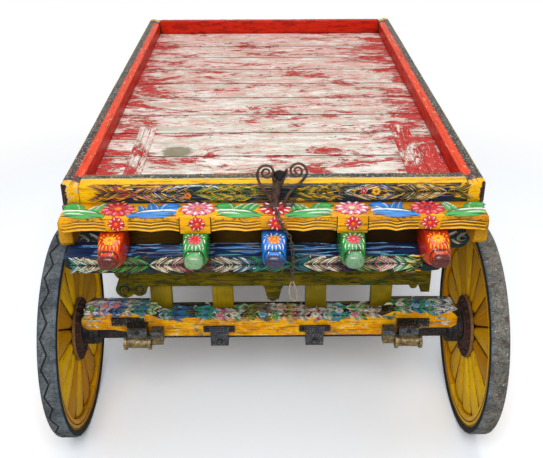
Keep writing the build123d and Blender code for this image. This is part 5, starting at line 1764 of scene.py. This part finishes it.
def build_woodwork(wheel, body):
    """Spokes, felloes and hoop in one piece."""
    place = wheel_place(f"{wheel}_spokes")
    work = start_grained()
    for k in range(SPOKE_COUNT):
        middle = 2 * pi * k / SPOKE_COUNT
        tip = spoke_draw.uniform(0.93, 1.0)
        shade = Vector(linear("#FFCC00")).lerp(Vector(linear("#B87400")), spoke_draw.random() ** 1.7)
        lean = spoke_draw.uniform(-1.5, 1.5)
        rings, grains = [], []
        for radius, fill, thick in SPOKE_STATIONS:
            at_tip = radius > TIP_FROM
            half = radius * tan(pi / SPOKE_COUNT) * (fill * tip if at_tip else fill) - 0.3
            flat = 1 - 3.4 / half
            crown = ((-1, 0.1), (-flat, 0.5), (-0.5, 0.88), (0, 1), (0.5, 0.88), (flat, 0.5), (1, 0.1))
            ring, grain = [], []
            for across, level in [(a, -b) for a, b in crown] + [(a, b) for a, b in reversed(crown)]:
                out = level * thick + lean * across
                reach = radius if at_tip else hypot(across * half, radius)
                ring.append(place(out, reach, middle + atan2(across * half, radius)))
                grain.append((radius * MM, (across * half + 400 * k) * MM, out * MM))
            rings.append(ring)
            grains.append(grain)
        # The spokes' sides and the chamfers beside them are near black: dirt and painted shade in the gaps
        # between spokes.
        grained_solid(work, rings, grains, shade, seams=(0, 5, 6, 7, 12, 13))
    for k in range(FELLOE_COUNT):
        start = 2 * pi * (k + 0.25) / FELLOE_COUNT
        shade = Vector(linear("#FFCA00")).lerp(Vector(linear("#D89400")), spoke_draw.random())
        face_out = FELLOE_HALF + spoke_draw.uniform(-1.0, 0.0)
        profile = (
            (0, FELLOE_IN_R + 3), (0, GROOVE_R - 2.5), (2.2, GROOVE_R - 1.4), (2.2, GROOVE_R + 1.4),
            (0, GROOVE_R + 2.5), (0, HOOP_R - 3), (2.5, HOOP_R - 0.5),
        )
        section = (
            *((inset - face_out, radius) for inset, radius in profile),
            *((face_out - inset, radius) for inset, radius in reversed(profile)),
            (face_out - 3, FELLOE_IN_R), (3 - face_out, FELLOE_IN_R),
        )
        slack = SEAM / FELLOE_IN_R
        angles = [start + slack / 2 + (2 * pi / FELLOE_COUNT - slack) * i / 10 for i in range(11)]
        rings = [[place(out, radius, angle) for out, radius in section] for angle in angles]
        grains = [
            [(angle * GRAIN_R, (radius + 500 * k) * MM, out * MM) for out, radius in section]
            for angle in angles
        ]
        # The turned groove's faces are near black: dirt and painted shade in the groove.
        grained_solid(work, rings, grains, shade, seams=(1, 2, 3, 8, 9, 10))
    hoop_half, bore = FELLOE_HALF + 1, TYRE_BORE_R - 0.2
    section = ((-hoop_half, HOOP_R), (-hoop_half, bore), (hoop_half, bore), (hoop_half, HOOP_R))
    angles = [2 * pi * i / HOOP_COLUMNS for i in range(HOOP_COLUMNS)]
    rings = [[place(out, radius, angle) for out, radius in section] for angle in angles]
    grains = [[(angle * GRAIN_R, 9.0, out * MM) for out, _ in section] for angle in angles]
    grained_solid(work, rings, grains, linear("#6E5A14"), closed=True)
    smoothed(work, f"{wheel}_woodwork", [wheel_enamel], body, "yellow_paint", 40, f"{wheel}_spokes")


# outward from the wheel's middle, radius: up a flange's side and down again, then once round a hub
FLANGE_SECTION = (
    (32, 72), (FLANGE_FACE - 1, 84), (FLANGE_FACE - 2.5, 88), (FLANGE_FACE - 2.5, 114), (FLANGE_FACE, 117),
    (FLANGE_FACE, 123), (FLANGE_FACE - 2, FLANGE_R), (CLAMP_FACE, FLANGE_R), (CLAMP_FACE, 62),
)
HUB_SECTION = (
    (68, 0), (68, 30), (65, 42), (58.5, 48), (58, 60), (54, 62), (48, 58), (42, 62), (36, 62),
    *FLANGE_SECTION, *((-out, radius) for out, radius in reversed(FLANGE_SECTION)),
    (-34, 62), (-38, 61), (-38, 23), (55, 23), (55, 0),
)
HUB_SIDES, COLLAR_SIDES = 48, 36
RIM_WIDE = 3                   # the flange's rubbed rim


def turned_solid(work, place, section, sides):
    """A closed solid of revolution from its section, whose points on the axis close it."""
    rings = []
    for out, radius in section:
        turns = [2 * pi * i / sides for i in range(sides)] if radius else [0]
        rings.append([work.verts.new(place(out, radius, turn)) for turn in turns])
    skin(work, rings, closed=section[0][1] > 0)


rubbed_rim_iron = painted_timber(
    "rubbed_flange_edge", "#8A6238", "#4E3420", "#B89860", along=0, chipped=0.4, crevice=10.0,
)


def build_hub(wheel, body):
    """The cast hub with its two clamping flanges and grease cap."""
    place = wheel_place(f"{wheel}_spokes")
    work = start_grained()
    turned_solid(work, place, HUB_SECTION, HUB_SIDES)
    axis = place(0, 0, 0)
    for part in work.faces:
        reach = min(hypot(vertex.co.y - axis.y, vertex.co.z - axis.z) for vertex in part.verts)
        part.material_index = int(reach > (FLANGE_R - RIM_WIDE) * MM)
    finishes = [rusty_iron, rubbed_rim_iron]
    smoothed(work, f"{wheel}_casting", finishes, body, "rusty_iron", crease=32, replaced=f"{wheel}_hub")


BOLT_COUNT, BOLT_CIRCLE = 16, 102.0
BOLT_NUT_R, BOLT_NUT_HIGH = 8.5, 7.0
BOLT_SUNK = 1.4                # the bolt circle lies this far inside the flange's face
bolt_tree, given = new_tree(
    "flange_bolts", ("Wheel Middle", "Vector"), ("Bolt Circle Radius", "Float"), ("Bolts", "Int"),
    ("Nut Radius", "Float"), ("Nut Height", "Float"), ("Face Distance", "Float"), ("Finish", "Material"),
)
circle = add_node(
    bolt_tree, "GeometryNodeMeshCircle", {"Vertices": given["Bolts"], "Radius": given["Bolt Circle Radius"]},
)
nut = add_node(
    bolt_tree, "GeometryNodeMeshCylinder",
    {"Vertices": 6, "Radius": given["Nut Radius"], "Depth": given["Nut Height"]},
)
washer_r, end_r = (
    add_node(bolt_tree, "ShaderNodeMath", {0: given["Nut Radius"], 1: share}, operation="MULTIPLY")
    for share in (1.35, 0.55)
)
washer = add_node(
    bolt_tree, "GeometryNodeMeshCylinder", {"Vertices": 14, "Radius": washer_r, "Depth": 2.2 * MM},
)
bolt_end = add_node(
    bolt_tree, "GeometryNodeMeshCone",
    {"Vertices": 10, "Radius Top": 3.2 * MM, "Radius Bottom": end_r, "Depth": 5 * MM},
)
raised_nut, raised_end = (
    add_node(bolt_tree, "GeometryNodeTransform", {"Geometry": part, "Translation": (0, 0, up * MM)})
    for part, up in ((nut, 4.5), (bolt_end, 8.0))
)
spun = add_node(
    bolt_tree, "FunctionNodeRandomValue", {"Max": (0, 0, 2 * pi), "Seed": 3}, data_type="FLOAT_VECTOR",
)
ring = add_node(
    bolt_tree, "GeometryNodeInstanceOnPoints",
    {"Points": circle, "Instance": joined(bolt_tree, washer, raised_nut, raised_end), "Rotation": spun},
)
out_by = add_node(bolt_tree, "ShaderNodeCombineXYZ", {"Z": given["Face Distance"]})
raised = add_node(bolt_tree, "GeometryNodeTransform", {"Geometry": ring, "Translation": out_by})
both_faces = joined(bolt_tree, *(
    add_node(bolt_tree, "GeometryNodeTransform", {"Geometry": raised, "Rotation": (0, turn, 0)})
    for turn in (pi / 2, 1.5 * pi)
))
placed = add_node(
    bolt_tree, "GeometryNodeTransform", {"Geometry": both_faces, "Translation": given["Wheel Middle"]},
)
end_tree(bolt_tree, placed, given["Finish"])

for end_name in ("front", "rear"):
    for hand in ("left", "right"):
        wheel, wheel_body = f"{end_name}_wheel_{hand}", f"{end_name}_{hand}_wheel"
        build_tyre(wheel, hand, wheel_body)
        build_woodwork(wheel, wheel_body)
        build_hub(wheel, wheel_body)
        low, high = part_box(f"{wheel}_spokes")
        grown(
            f"{wheel}_flange_bolts", bolt_tree, wheel_body, "rusty_iron", (),
            **{"Wheel Middle": (low + high) / 2, "Bolt Circle Radius": BOLT_CIRCLE * MM, "Bolts": BOLT_COUNT,
               "Nut Radius": BOLT_NUT_R * MM, "Nut Height": BOLT_NUT_HIGH * MM,
               "Face Distance": (FLANGE_FACE - BOLT_SUNK) * MM, "Finish": rusty_iron},
        )

# Black ringed collars close the gap between each hub and its beam.
# outward from the collar's inner end, radius
COLLAR_SECTION = (
    (0, 40), (0, 56), (3, 61), (14, 62), (16, 58.6), (19, 58.6), (21, 62), (32, 62), (34, 58.6), (37, 58.6),
    (39, 62), (50, 61), (54, 56), (54, 40),
)
COLLAR_START = 688.0
for _, end_name, axle_body in ENDS:
    axle_low, axle_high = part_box(f"{end_name}_axle")
    work = start_grained()
    for outward in (-1, 1):
        middle = (axle_low + axle_high) / 2
        middle.x = outward * COLLAR_START * MM
        turned_solid(work, axle_place(middle, outward), COLLAR_SECTION, COLLAR_SIDES)
    smoothed(work, f"{end_name}_axle_collars", [black_iron], axle_body, "black_iron", crease=32)
